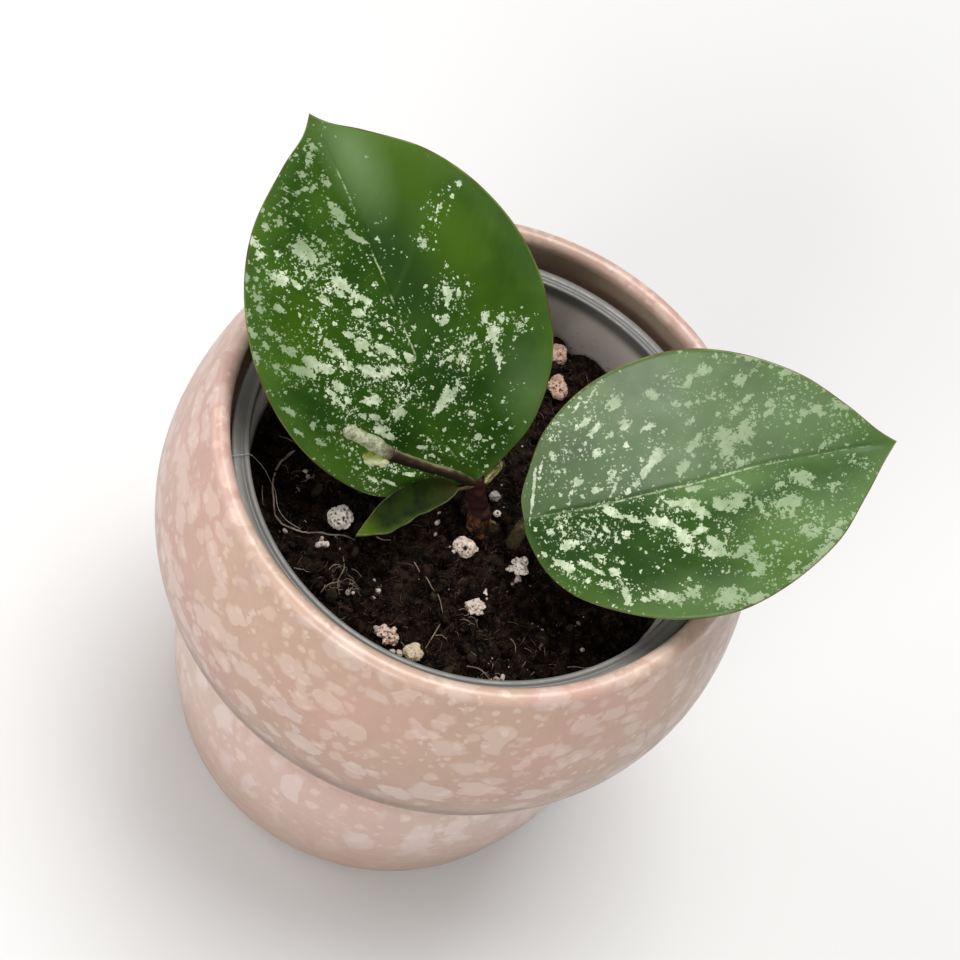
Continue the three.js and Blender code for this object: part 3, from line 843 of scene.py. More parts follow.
# Thin bent strands of three sides that hug the crumbs
def makeFibres(plan, edge, dice):
    strands = {"points": [], "faces": [], "marks": {"tone": []}}
    shortest, spread = plan["fibreLength"]
    for _ in range(plan["fibres"]):
        x, y = spotInPot(dice, edge - plan["fibreEdge"])
        length = shortest + spread * dice.random() ** 2
        heading = dice.uniform(0, 2 * math.pi)
        bend = dice.uniform(-1.3, 1.3)
        radius = dice.uniform(*plan["fibreRadius"])
        tone = dice.random() ** 2.2
        rise = dice.uniform(0, plan["fibreRise"])
        start = len(strands["points"])
        steps = 4
        for step in range(steps + 1):
            share = step / steps - 0.5
            angle = heading + bend * share
            px = x + math.cos(angle) * length * share
            py = y + math.sin(angle) * length * share
            pz = crumbHeight(px, py) + radius + rise * (0.25 - share * share) * 2
            width = radius * (1 - 1.6 * share * share)
            side = Vector((-math.sin(angle), math.cos(angle), 0))
            for k in range(3):
                turn = 2 * math.pi * k / 3
                out = math.cos(turn)
                spot = (px + side.x * width * out, py + side.y * width * out, pz + width * math.sin(turn))
                strands["points"].append(spot)
                strands["marks"]["tone"].append(tone)
        for step in range(steps):
            for k in range(3):
                a = start + step * 3 + k
                b = start + step * 3 + (k + 1) % 3
                strands["faces"].append([a, b, b + 3, a + 3])
        strands["faces"].append([start + 2, start + 1, start])
        strands["faces"].append([start + steps * 3, start + steps * 3 + 1, start + steps * 3 + 2])
    makePiece("peatFibres", [strands], [fibreMaterial(plan)], "soil")


def buildSoil(plan):
    skin = soilMaterial(plan)
    edge = nurseryInnerRadius(nurseryPot, plan["level"] - plan["shoulder"]) - plan["gap"]
    makeSoilBed(plan, skin, edge)
    dice = random.Random(plan["seed"])
    makeCrumbs(plan, skin, edge, dice)
    makeFibres(plan, edge, dice)
    print("soil with", plan["crumbs"] + plan["bigCrumbs"], "crumbs and", plan["fibres"], "fibres")


# Pale rootlets on the soil: points as (x, y, height over the soil), then the thickness
rootlets = {
    "seed": 5, "lift": 0.6, "hairRadii": [0.045, 0.055, 0.045],
    "pale": paint(150, 132, 114), "dark": paint(84, 64, 50), "white": paint(190, 188, 184),
    "paths": [
        ([(-3.3, -20.7, 1.4), (0.7, -23.3, 1.3), (3.5, -24.8, 0.9), (5.7, -27.3, 0.5)], 0.1),
        ([(5.5, -28.9, 1.6), (5.3, -31.6, 1.2), (5, -34.3, 1.6)], 0.11),
        ([(5.6, -31.4, 1.3), (6.6, -30.9, 1.6), (7.5, -31, 1.2)], 0.09),
        ([(-21.5, -31.6, 0.9), (-20.2, -31, 1.2), (-18.8, -30.5, 0.9)], 0.09),
        ([(-35.4, -8.4, 0.9), (-33.6, -8.4, 1.3), (-31.8, -8.6, 0.9)], 0.09),
        ([(12.8, -33.9, 0.9), (15.2, -33.6, 1.3), (17.8, -33.9, 0.9)], 0.1),
        ([(17.7, -25.3, 0.9), (18.8, -26.3, 1.3), (19.5, -27.4, 0.8)], 0.08),
        ([(28.9, -25.1, 0.9), (31.4, -23.8, 1.2), (33.5, -22.1, 0.8)], 0.09),
        ([(-33.4, -19, 0.8), (-32.6, -20.8, 1.2), (-31.4, -22.8, 0.8)], 0.08),
        ([(-14.9, -25.2, 1), (-13.8, -27.2, 1.5), (-13.7, -29.8, 1.5), (-12.4, -32.2, 0.8)], 0.1),
        ([(-12.6, -26.2, 0.9), (-11.6, -26.4, 1.5), (-10.5, -26.9, 0.8)], 0.09),
        ([(-15.5, -32.8, 0.7), (-14.6, -30.8, 1.7), (-12.3, -29, 1.2)], 0.1),
        ([(-16.3, -30.1, 0.8), (-15.6, -27.7, 1.7), (-13.2, -26.9, 1.1)], 0.09),
        ([(-11.2, -18.9, 1), (-10, -18.7, 1.3), (-8.8, -18.1, 1)], 0.12),
        ([(-23.1, -29.2, 0.8), (-22.9, -30.4, 1.1), (-22.5, -31.5, 0.7)], 0.08),
        ([(0.7, -34.7, 1.2), (1.5, -35.4, 1.8), (2.1, -36.4, 1.3)], 0.08),
        (
            [
                (-22.6, -23.9, 0.4), (-21, -23.2, 0.5), (-18.4, -21.9, 0.4),
                (-16.4, -21.2, 0.3), (-14.4, -20.6, -0.4),
            ],
            0.15,
        ),
    ],
    # curls of fine root: x, y, spread, how many
    "curls": [
        (-14, -29.6, 2.6, 22), (-11, -30.6, 1.2, 8), (-29, -14, 2.6, 9),
        (16, -33.2, 3, 8), (24, -26, 4, 10), (10, -26, 5, 10),
    ],
    # one fine white hair that lies from the plastic rim down on the soil
    "hair": [
        (-40.2, -23.9, 102.5), (-39, -23.1, 102.5), (-37.7, -22.1, 102.45),
        (-36.6, -21.2, 102.2), (-35, -20.2, 99.5), (-33.5, -19.5, 96.5), (-32.1, -19.5, 94),
        (-30.7, -20.2, 92.9), (-28.8, -22.9, 92.7), (-26.5, -24.3, 92.6), (-23.7, -24.5, 92.3),
    ],
}


def rootMaterial(name, light, dark):
    look = Look(name, roughness=0.6, specular=0.4)
    strand = look.mark("strand", "Vector")
    streak = look.noise(strand, 3.2, 4, 0.6)
    look.colour = look.blend(look.step(streak, 0.35, 0.65), light, dark)
    return look.dress(look.noise(look.place(), 3, 3), 0.4, 0.0003)


def buildRootlets(plan):
    shapes = []
    for path, width in plan["paths"]:
        points = layOnSoil([(x, y, 0.7 * over) for x, y, over in path], 12, plan["lift"])
        radii = [width * 0.8, width, width * 0.5]
        shapes.append(tubeShape(points, radii, sides=8, steps=30, rough=0.3, roughScale=1.2))
    dice = random.Random(plan["seed"])
    for x, y, spread, count in plan["curls"]:
        for _ in range(count):
            px, py = x + dice.gauss(0, spread / 2), y + dice.gauss(0, spread / 2)
            heading = dice.uniform(0, 2 * math.pi)
            bend = dice.uniform(-1.3, 1.3)
            points = []
            for step in range(4):
                rise = (0.6 if 0 < step < 3 else 0) * dice.random()
                points.append((px, py, crumbHeight(px, py) + 0.15 + rise))
                px += 0.6 * math.cos(heading)
                py += 0.6 * math.sin(heading)
                heading += bend
            width = dice.uniform(0.035, 0.075)
            shapes.append(tubeShape(points, [width, width * 1.1, width * 0.6], sides=6, steps=12))
    shapes.append(tubeShape(plan["hair"], plan["hairRadii"], sides=6, steps=90, finish=1))
    rootletSkin = rootMaterial("paleRootlet", plan["pale"], plan["dark"])
    hairSkin = rootMaterial("whiteHair", plan["white"], plan["pale"])
    makePiece("rootlets", shapes, [rootletSkin, hairSkin], "root")
    print("rootlets,", len(shapes))


buildRootlets(rootlets)

# A thicker root that loops over the soil at the left
surfaceRoot = {
    "radius": 0.16, "shares": (1.2, 1.35, 1.3, 1.1, 1, 0.95, 0.8), "lift": 0.7,
    "path": [
        (-30.6, -8.9, -1.4), (-31.5, -10.5, 0.2), (-32.2, -12.8, 0.5), (-32.6, -15.1, 0.6), (-31.8, -18, 0.6),
        (-30.5, -20.5, 0.5), (-29, -22.9, 0.4), (-26.5, -24.2, 0.3), (-23.7, -24.2, 0.3), (-22, -23.7, 0.3),
    ],
    "light": paint(184, 160, 142), "dark": paint(118, 92, 78),
}


def buildSurfaceRoot(plan):
    points = layOnSoil(plan["path"], 36, plan["lift"])
    radii = [plan["radius"] * share for share in plan["shares"]]
    shape = tubeShape(points, radii, sides=12, steps=110, rough=0.25, roughScale=0.9)
    skin = rootMaterial("surfaceRoot", plan["light"], plan["dark"])
    makePiece("surfaceRoot", [shape], [skin], "root", "surface_root")
    print("surface root")


buildSurfaceRoot(surfaceRoot)


# The light and the dark paint of each mineral
whitePerlite = (paint(236, 220, 208), paint(180, 154, 140))
creamPerlite = (paint(255, 246, 236), paint(226, 202, 186))
pinkPerlite = (paint(206, 172, 154), paint(122, 84, 66))
beigePerlite = (paint(214, 196, 170), paint(150, 126, 98))
redBark = (paint(224, 196, 180), paint(92, 38, 26))
ashPerlite = (paint(224, 208, 194), paint(146, 124, 108))
greyPerlite = (paint(196, 186, 180), paint(140, 128, 122))
dustyPerlite = (paint(196, 182, 174), paint(128, 108, 98))
pitPaint = paint(30, 20, 16)
porePaint = paint(70, 48, 40)
mineralPores = {"Scale": 2, "Size": 0.4, "Presence": 0.34, "Softness": 0.08, "Warp": 1.1}

# Lobes are (direction, how far out, radius) in shares of the grain's radius, and holes are
# (direction, width in degrees, depth in shares). Core is the radius between the lobes
grains = {
    "roundGrain": {
        "node": "perlite_01", "x": -18.5, "y": -18.6, "size": 4.3, "paints": creamPerlite,
        "lumps": 0.42, "seed": 11, "pits": 16,
        "holes": [
            ((0.3, -0.36, 0.88), 8, 0.2), ((0.4, -0.5, 0.77), 7, 0.2), ((0.62, -0.45, 0.65), 7, 0.2),
            ((0, -0.68, 0.74), 7, 0.2), ((0.62, -0.1, 0.75), 9, 0.25), ((-0.45, -0.3, 0.85), 7, 0.25),
            ((0.1, -0.85, 0.5), 8, 0.3), ((-0.1, 0.1, 1), 6, 0.25), ((0.3, 0.2, 0.9), 7, 0.2),
        ],
    },
    "holedGrain": {
        "node": "perlite_02", "x": 3.7, "y": -13.3, "size": 4.3, "paints": ashPerlite,
        "mottle": 0.85, "lumps": 0.2, "seed": 12, "pits": 16,
        "lobes": [
            ((-0.5, 0, 0.2), 0.3, 0.8), ((0.5, 0.1, 0.3), 0.4, 0.62),
            ((0.94, 0.3, 0.2), 0.98, 0.2), ((0.45, -0.9, 0.3), 0.7, 0.36),
        ],
        "holes": [
            ((0.05, -0.4, 0.9), 17, 0.5), ((0.02, -0.56, 0.83), 17, 0.5),
            ((0.5, -0.3, 0.8), 8, 0.3), ((0.45, -0.62, 0.64), 7, 0.3), ((-0.1, -0.8, 0.55), 6, 0.2),
        ],
    },
    "popcornRight": {
        "node": "perlite_03", "x": 13.6, "y": -12.3, "size": 4.2, "paints": creamPerlite,
        "lumps": 0.24, "core": 0.45, "seed": 13, "pits": 18,
        "lobes": [
            ((0.37, 0.88, 0.4), 0.6, 0.46), ((-0.6, -0.64, 0.2), 0.76, 0.32), ((0.1, 0.1, 1), 0.45, 0.46),
            ((0.81, -0.34, 0.3), 0.5, 0.44), ((-0.5, 0.4, 0.3), 0.5, 0.36), ((0.2, -0.8, 0.3), 0.55, 0.32),
        ],
        "holes": [((0.25, 0.1, 0.95), 10, 0.3), ((-0.3, -0.5, 0.8), 8, 0.25)],
    },
    "popcornFront": {
        "node": "perlite_04", "x": 9.7, "y": -22.4, "size": 3.9, "paints": ashPerlite,
        "lumps": 0.24, "core": 0.55, "seed": 14, "pits": 26,
        "lobes": [
            ((-0.7, -0.3, 0.4), 0.6, 0.42), ((0.6, 0.2, 0.5), 0.55, 0.44), ((0, 0.1, 1), 0.5, 0.48),
            ((0.8, -0.5, 0.2), 0.62, 0.36), ((0.1, 0.9, 0.3), 0.6, 0.36), ((-0.2, -0.8, 0.3), 0.6, 0.38),
        ],
    },
    "pinkGrainFar": {
        "node": "perlite_05", "x": 3.5, "y": 35.2, "size": 4.6, "paints": pinkPerlite,
        "lumps": 0.2, "seed": 15, "pits": 14,
        "lobes": [((-0.1, 0.8, 0.2), 0.4, 0.7), ((0.1, -0.7, 0.3), 0.45, 0.6)],
    },
    "pinkGrainBack": {
        "node": "perlite_06", "x": 6.3, "y": 27.6, "size": 5.2, "paints": pinkPerlite,
        "lumps": 0.26, "core": 0.6, "seed": 16, "pits": 26,
        "lobes": [
            ((-0.41, 0.91, 0.2), 0.5, 0.52), ((0.35, -0.9, 0.2), 0.6, 0.44),
            ((0.9, 0.2, 0.2), 0.3, 0.52), ((-0.9, 0, 0.2), 0.25, 0.5),
        ],
        "holes": [((0.4, -0.5, 0.7), 11, 0.25), ((-0.3, -0.2, 0.9), 9, 0.2)],
    },
    "beigeGrain": {
        "node": "perlite_07", "x": 3.4, "y": -36, "size": 3.6, "paints": beigePerlite,
        "lumps": 0.14, "seed": 17, "pits": 14,
        "lobes": [((0, 0.9, 0.3), 0.7, 0.42), ((-0.5, -0.2, 0.4), 0.3, 0.75), ((0.6, -0.1, 0.3), 0.35, 0.7)],
    },
    "stalkGrain": {
        "node": "perlite_08", "x": 4.5, "y": -0.9, "size": 2, "paints": greyPerlite,
        "lumps": 0.3, "seed": 18, "pits": 14,
    },
    "ringGrain": {
        "node": "perlite_09", "x": 6.2, "y": -4, "size": 1.4, "paints": whitePerlite,
        "lumps": 0.12, "seed": 19, "pits": 0,
        "holes": [((0.1, -0.2, 1), 34, 0.6)],
    },
    "crumbLeft": {
        "node": "perlite_10", "x": -19, "y": -24.6, "size": 2, "paints": whitePerlite,
        "lumps": 0.3, "core": 0.5, "seed": 20, "pits": 10,
        "lobes": [((-0.9, -0.4, 0.2), 0.7, 0.5), ((0.8, 0.5, 0.2), 0.7, 0.5), ((0.1, 0, 0.9), 0.3, 0.5)],
    },
    "crumbFront": {
        "node": "perlite_11", "x": 10.2, "y": -18.9, "size": 1.5, "paints": whitePerlite,
        "lumps": 0.3, "core": 0.5, "seed": 21, "pits": 8,
        "lobes": [((-0.1, 0.9, 0.2), 0.6, 0.5), ((0.5, -0.7, 0.2), 0.6, 0.55)],
    },
    "barkCluster": {
        "node": "bark_chip", "x": -1.8, "y": -35.2, "size": 4.2, "paints": redBark,
        "mottle": 0.95, "lumps": 0.3, "core": 0.45, "seed": 22, "pits": 20,
        "lobes": [
            ((-0.5, 0.7, 0.3), 0.66, 0.36), ((0.3, 0.8, 0.4), 0.6, 0.36), ((0.7, -0.3, 0.4), 0.62, 0.42),
            ((-0.2, -0.1, 0.9), 0.42, 0.42), ((0.9, 0.4, 0.2), 0.66, 0.3),
            ((-0.8, -0.1, 0.3), 0.6, 0.34), ((0.1, -0.8, 0.3), 0.66, 0.32),
        ],
        "holes": [((-0.5, 0.1, 0.8), 11, 0.3), ((0.1, 0.4, 0.9), 11, 0.3), ((0.3, -0.4, 0.85), 9, 0.25)],
    },
}


def mineralMaterial(name, plan):
    look = Look(name, roughness=0.8, specular=0.3)
    place = look.place()
    pit = look.mark("pit")
    patchy = look.noise(place, 0.9, 4, 0.6)
    look.colour = look.blend(look.step(patchy, 0.44, 0.66, 0, plan.get("mottle", 0.55)), *plan["paints"])
    look.lay(pit, pitPaint)
    pores = look.group(roundSpots, Vector=place, **mineralPores)["Mask"]
    look.lay(look.times(pores, 0.85), porePaint)
    relief = look.less(look.uneven(place, 1.6, 5, 0.5), pores, 0.5)
    return look.dress(relief, 0.7, 0.0005)


# Loose crumbs lie round the bigger grains: x, y, radius. A scatter adds tiny ones: x, y, spread, how many
looseCrumbs = {
    "seed": 31, "edge": 38.5, "tiny": 0.16, "paints": dustyPerlite,
    "scatter": [(0, -2, 28, 26), (20, 10, 12, 8), (26, -20, 6, 7), (17, -32, 4, 6)],
    "spots": [
        (7.8, -7.3, 0.45), (-3.5, -9.2, 0.6), (-2.7, -11.2, 0.65), (-2.2, -12.4, 0.4), (2.1, -15.3, 0.45),
        (1.2, -14.8, 0.3), (-19.6, -23.8, 0.5), (-19.7, -25.4, 0.7), (-18.4, -24, 0.65),
        (-17.7, -21.6, 0.5), (-26, -25, 0.5), (-26.9, -24.6, 0.3), (-23.7, -21.8, 0.4), (-6.7, -28.3, 0.55),
        (-6.9, -29.3, 0.4), (4.1, -21.4, 0.35), (14.6, -14, 0.7), (14, -14.9, 0.4), (27.6, -16, 0.5),
        (30.1, -20.6, 0.5), (18.4, -32.6, 0.6), (19.4, -32, 0.5), (17.6, -33.4, 0.45), (10.8, -37, 0.4),
        (22.2, -21, 0.35), (-11.3, -31.2, 0.5), (-10.4, -31, 0.35), (-3.9, -34.9, 0.7), (-8.2, -25.9, 0.3),
        (-27.9, -13, 0.5), (-27, -13.8, 0.4), (-27.6, -16.7, 0.55), (8, 24, 0.4), (1.4, -37, 0.7),
        (0.2, -37.2, 0.5), (9.4, -20, 0.35), (11, -20.2, 0.3), (12, -13.4, 0.4), (11.4, -14, 0.3),
    ],
}


# How far a ray from the grain's middle goes before it leaves the lobes
def lobeReach(out, lobes, core):
    reach = core
    for direction, outward, radius in lobes:
        centre = Vector(direction).normalized() * outward
        toward = out.dot(centre)
        under = toward * toward - (centre.length_squared - radius * radius)
        if under > 0:
            reach = max(reach, toward + math.sqrt(under))
    return reach


def grainShape(plan):
    seed = plan["seed"]
    dice = random.Random(seed)
    ball, faces = ballShape(5 if plan["size"] > 3 else 4)
    radius = plan["size"] / 2
    holes = []
    for direction, width, depth in plan.get("holes", []):
        holes.append((Vector(direction).normalized(), math.radians(width), depth))
    for _ in range(plan["pits"]):
        direction = Vector((dice.uniform(-1, 1), dice.uniform(-1, 1), dice.uniform(-0.2, 1)))
        holes.append((direction.normalized(), math.radians(dice.uniform(3, 8)), dice.uniform(0.08, 0.22)))
    x, y = plan["x"], plan["y"]
    z = soilHeight(x, y) + 0.18 * plan["size"]
    lobes = plan.get("lobes", [])
    core = plan.get("core", 0.86 if lobes else 1)
    # unevenness in three layers: share, scale, offset
    layers = ((1, 1.9, (seed, 0, 0)), (0.5, 5.5, (0, seed, 0)), (0.25, 12, (0, seed, 3)))
    points, pits = [], []
    for out in ball:
        reach = lobeReach(out, lobes, core) if lobes else 1
        for share, scale, offset in layers:
            reach *= 1 + share * plan["lumps"] * noise.noise(out * scale + Vector(offset))
        dark = 0
        for direction, width, depth in holes:
            away = out.angle(direction) / width
            if away < 1.25:
                inward = 1 - smooth(0.45, 1.1, away)
                reach -= depth * inward
                dark = max(dark, (1 - smooth(0.6, 1, away)) * min(1, depth * 5))
        reach = max(0.12, min(reach, 1.12)) * radius
        points.append((x + out.x * reach, y + out.y * reach, z + out.z * reach * 0.85))
        pits.append(dark)
    return {"points": points, "faces": faces, "marks": {"pit": pits}}


def buildGrains(plans, crumbPlan):
    for name, plan in plans.items():
        skin = mineralMaterial(name, plan)
        slotName = "bark" if plan["node"] == "bark_chip" else "perlite"
        makePiece(name, [grainShape(plan)], [skin], slotName, plan["node"])
    dice = random.Random(crumbPlan["seed"])
    spots = list(crumbPlan["spots"])
    for x, y, spread, count in crumbPlan["scatter"]:
        for _ in range(count):
            px, py = x + dice.gauss(0, spread / 2), y + dice.gauss(0, spread / 2)
            spots.append((px, py, crumbPlan["tiny"] * (0.5 + dice.random())))
    shapes = []
    for x, y, size in spots:
        if math.hypot(x - nurseryPot["x"], y - nurseryPot["y"]) > crumbPlan["edge"]:
            continue
        radii = [size * dice.uniform(0.75, 1.1) for _ in range(3)]
        middle = (x, y, crumbHeight(x, y) + size * 0.4)
        detail = 3 if size > 0.4 else 2
        shape = lumpShape(middle, radii, dice.uniform(0, 180), detail, 0.6, 1.2 / size ** 0.5)
        shape["marks"] = {"pit": [0] * len(shape["points"])}
        shapes.append(shape)
    makePiece("looseCrumbs", shapes, [mineralMaterial("looseCrumb", crumbPlan)], "perlite")
    print("grains,", len(plans), "and", len(shapes), "crumbs")


buildSoil(soilBed)
buildGrains(grains, looseCrumbs)


# Stem, cut side shoot and bud: paths with their radii, and lumps as a middle and three radii
shoot = {
    "stemPath": [(5.1, -8, 81), (4.7, -7.8, 91), (2.9, -7.4, 96.5), (0.3, -6.3, 101.6)],
    "stemRadii": [2.2, 2.2, 1.75, 1.6],
    "node": (0.3, -6.3, 101.6), "nodeRadii": (2.2, 2, 1.9),
    "path": [(0.3, -7, 102.6), (-3.7, -9.6, 106.6), (-8, -12, 109), (-11.7, -14, 111.2), (-14.6, -15.6, 113)],
    "radii": [0.85, 0.92, 0.96, 1, 1.15],
    "tipPath": [(-14.9, -15.7, 113.3), (-17.6, -16.4, 115), (-20.2, -16.9, 116), (-22.6, -17.4, 116.4)],
    "tipRadii": [1.15, 1.3, 1.1, 0.95],
    "knob": (-22.1, -17.2, 116.35), "knobRadii": (1.4, 1.25, 1.25),
    "bud": (-16.6, -17, 112.3), "budRadii": (2.1, 1.35, 1.35),
    # bark scales and bud scales: middle, radii, turn, how rough, scale of the roughness
    "scales": [
        ((1.5, -8, 99.4), (0.9, 0.7, 0.9), 20, 0.5, 1.3), ((3.8, -9.3, 95.2), (1, 0.7, 1.2), -40, 0.5, 1.3),
        ((5.8, -9, 92.4), (1.2, 0.9, 0.9), 30, 0.6, 1.2), ((3.2, -8.9, 92.3), (1.1, 0.9, 0.8), 80, 0.6, 1.2),
        ((6.4, -7, 92.6), (1.1, 0.9, 0.9), 60, 0.6, 1.2), ((2.4, -7, 92.4), (1, 0.9, 0.8), 10, 0.6, 1.2),
    ],
    "budScales": [
        ((-15.4, -17, 112.3), (1.2, 1, 1), 30, 0.3, 1.2),
        ((-17.2, -17.7, 111.9), (1.1, 0.9, 0.9), -10, 0.3, 1.2),
    ],
    "hollow": (0.15, -0.35, 0.92), "paleSide": (0.35, -0.7, -0.4), "litSide": (-0.35, 0.62, 0.7),
    # how far the red of the node and the rust at the soil reach
    "redAlongShoot": (1.5, 5), "redDownStem": (99.5, 95), "rustUpTo": (94, 98), "brownTipBase": (0.3, 3.2),
    # bark paints: the pale one is a painted highlight on the upper side; the darkest is painted shade
    # underneath and also the fine dark streaks
    "bark": paint(68, 48, 33), "barkHighlight": paint(136, 136, 98),
    "barkRed": paint(44, 15, 11), "rust": paint(108, 64, 36), "barkShadeAndStreak": paint(24, 16, 10),
    "cream": paint(186, 190, 156), "creamShade": paint(122, 128, 96),
    "heart": paint(112, 70, 46), "tipFuzz": paint(112, 106, 76),
    "budYellow": paint(150, 150, 62), "budGreen": paint(108, 120, 44), "budPale": paint(200, 206, 166),
}


def twigMaterial(plan):
    look = Look("brownTwig", roughness=0.65, specular=0.15)
    strand = look.mark("strand", "Vector")
    place = look.place()
    streak = look.noise(strand, 1.5, 5, 0.65, 0.4)
    fine = look.noise(strand, 5, 3, 0.6)
    # painted light and shade: lighter along the upper side, which faces the light, almost black underneath
    normal = look.add("ShaderNodeTexCoord").outputs["Normal"]
    turned = look.vector("DOT_PRODUCT", normal, plan["litSide"])["Value"]
    towardLight = look.plus(turned, look.swing(streak, 1.2))
    look.colour = look.blend(look.step(towardLight, 0.4, 0.9), plan["bark"], plan["barkHighlight"])
    look.lay(look.step(towardLight, -0.2, 0.4, 0.9, 0), plan["barkShadeAndStreak"])
    look.lay(look.step(fine, 0.55, 0.75, 0, 0.5), plan["barkShadeAndStreak"])
    redPatches = look.step(look.noise(place, 0.6, 3), 0.3, 0.6, 0.75, 1)
    look.lay(look.times(look.mark("red"), redPatches), plan["barkRed"])
    rustPatches = look.step(look.noise(place, 0.8, 4, 0.6), 0.42, 0.62)
    look.lay(look.times(look.mark("rust"), rustPatches), plan["rust"])
    fuzz = look.noise(place, 4, 4, 0.7)
    return look.dress(look.plus(streak, look.times(fuzz, 0.7)), 0.8, 0.0006)


def tipMaterial(plan):
    look = Look("paleTip", roughness=0.6, specular=0.4)
    place = look.place()
    streak = look.noise(place, 0.9, 5, 0.7)
    look.colour = look.blend(look.step(streak, 0.4, 0.64), plan["cream"], plan["creamShade"])
    look.lay(look.mark("browned"), plan["bark"])
    look.lay(look.mark("pit"), plan["heart"])
    fuzz = look.noise(place, 3, 4, 0.7)
    look.lay(look.step(fuzz, 0.56, 0.7, 0, 0.6), plan["tipFuzz"])
    return look.dress(look.plus(streak, look.times(fuzz, 0.9)), 0.7, 0.0006)


def budMaterial(plan):
    look = Look("yellowBud", roughness=0.5, specular=0.4)
    place = look.place()
    cloud = look.noise(place, 0.8, 4, 0.6)
    look.colour = look.blend(look.step(cloud, 0.38, 0.62), plan["budYellow"], plan["budGreen"])
    look.lay(look.mark("pale"), plan["budPale"])
    return look.dress(look.noise(place, 1.8, 4, 0.6), 0.5, 0.0006)


def makeTwig(plan):
    stem = tubeShape(plan["stemPath"], plan["stemRadii"], sides=40, steps=90, rough=0.4, roughScale=0.75)
    node = lumpShape(plan["node"], plan["nodeRadii"], -30, detail=4, rough=0.3, roughScale=0.7)
    side = tubeShape(plan["path"], plan["radii"], sides=24, steps=70, rough=0.12, roughScale=0.7)
    scales = []
    for middle, radii, turn, rough, roughScale in plan["scales"]:
        scales.append(lumpShape(middle, radii, turn, 3, rough, roughScale))
    centre = Vector(plan["node"])
    for shape in [stem, node, side, *scales]:
        points = shape["points"]
        if shape is side:
            reds = [1 - smooth(*plan["redAlongShoot"], (Vector(point) - centre).length) for point in points]
            rusts = [0] * len(points)
        else:
            reds = [1 - smooth(*plan["redDownStem"], point[2]) for point in points]
            rusts = [1 - smooth(*plan["rustUpTo"], point[2]) for point in points]
        shape["marks"] = {"strand": shape["marks"]["strand"], "red": reds, "rust": rusts}
    makePiece("stemAndShoot", [stem, node, side, *scales], [twigMaterial(plan)], "stem", "stem")


# The cut end: a short pale stub with a knob, hollow on its upper side
def makeTip(plan):
    tip = tubeShape(plan["tipPath"], plan["tipRadii"], sides=36, steps=70, rough=0.25, roughScale=0.6)
    browned = []
    for along, point in zip(tip["marks"]["along"], tip["points"]):
        browned.append(1 - smooth(*plan["brownTipBase"], along + 0.8 * ripple(*point, 1.1)))
    tip["marks"] = {"strand": tip["marks"]["strand"], "browned": browned, "pit": [0] * len(browned)}
    knob = lumpShape(plan["knob"], plan["knobRadii"], 20, detail=5, rough=0.25, roughScale=0.8)
    hollow = Vector(plan["hollow"]).normalized()
    centre = Vector(plan["knob"])
    points, pits = [], []
    for point in knob["points"]:
        out = Vector(point) - centre
        dent = 1 - smooth(0.14, 0.4, out.angle(hollow))
        points.append(tuple(centre + out * (1 - 0.4 * dent)))
        pits.append(dent)
    knob["points"] = points
    knob["marks"].update({"pit": pits, "browned": [0] * len(points)})
    makePiece("shootTip", [tip, knob], [tipMaterial(plan)], "shoot_tip", "shoot_tip")


def makeBud(plan):
    shapes = [lumpShape(plan["bud"], plan["budRadii"], 15, detail=4, rough=0.25, roughScale=0.9)]
    for middle, radii, turn, rough, roughScale in plan["budScales"]:
        shapes.append(lumpShape(middle, radii, turn, 3, rough, roughScale))
    cx, cy, cz = plan["bud"]
    dx, dy, dz = plan["paleSide"]
    for shape in shapes:
        down = [dx * (x - cx) + dy * (y - cy) + dz * (z - cz) for x, y, z in shape["points"]]
        shape["marks"] = {"pale": [smooth(-0.1, 0.9, value) for value in down]}
    makePiece("sideBud", shapes, [budMaterial(plan)], "bud", "bud")


makeTwig(shoot)
makeTip(shoot)
makeBud(shoot)
print("stem, shoot, tip and bud")
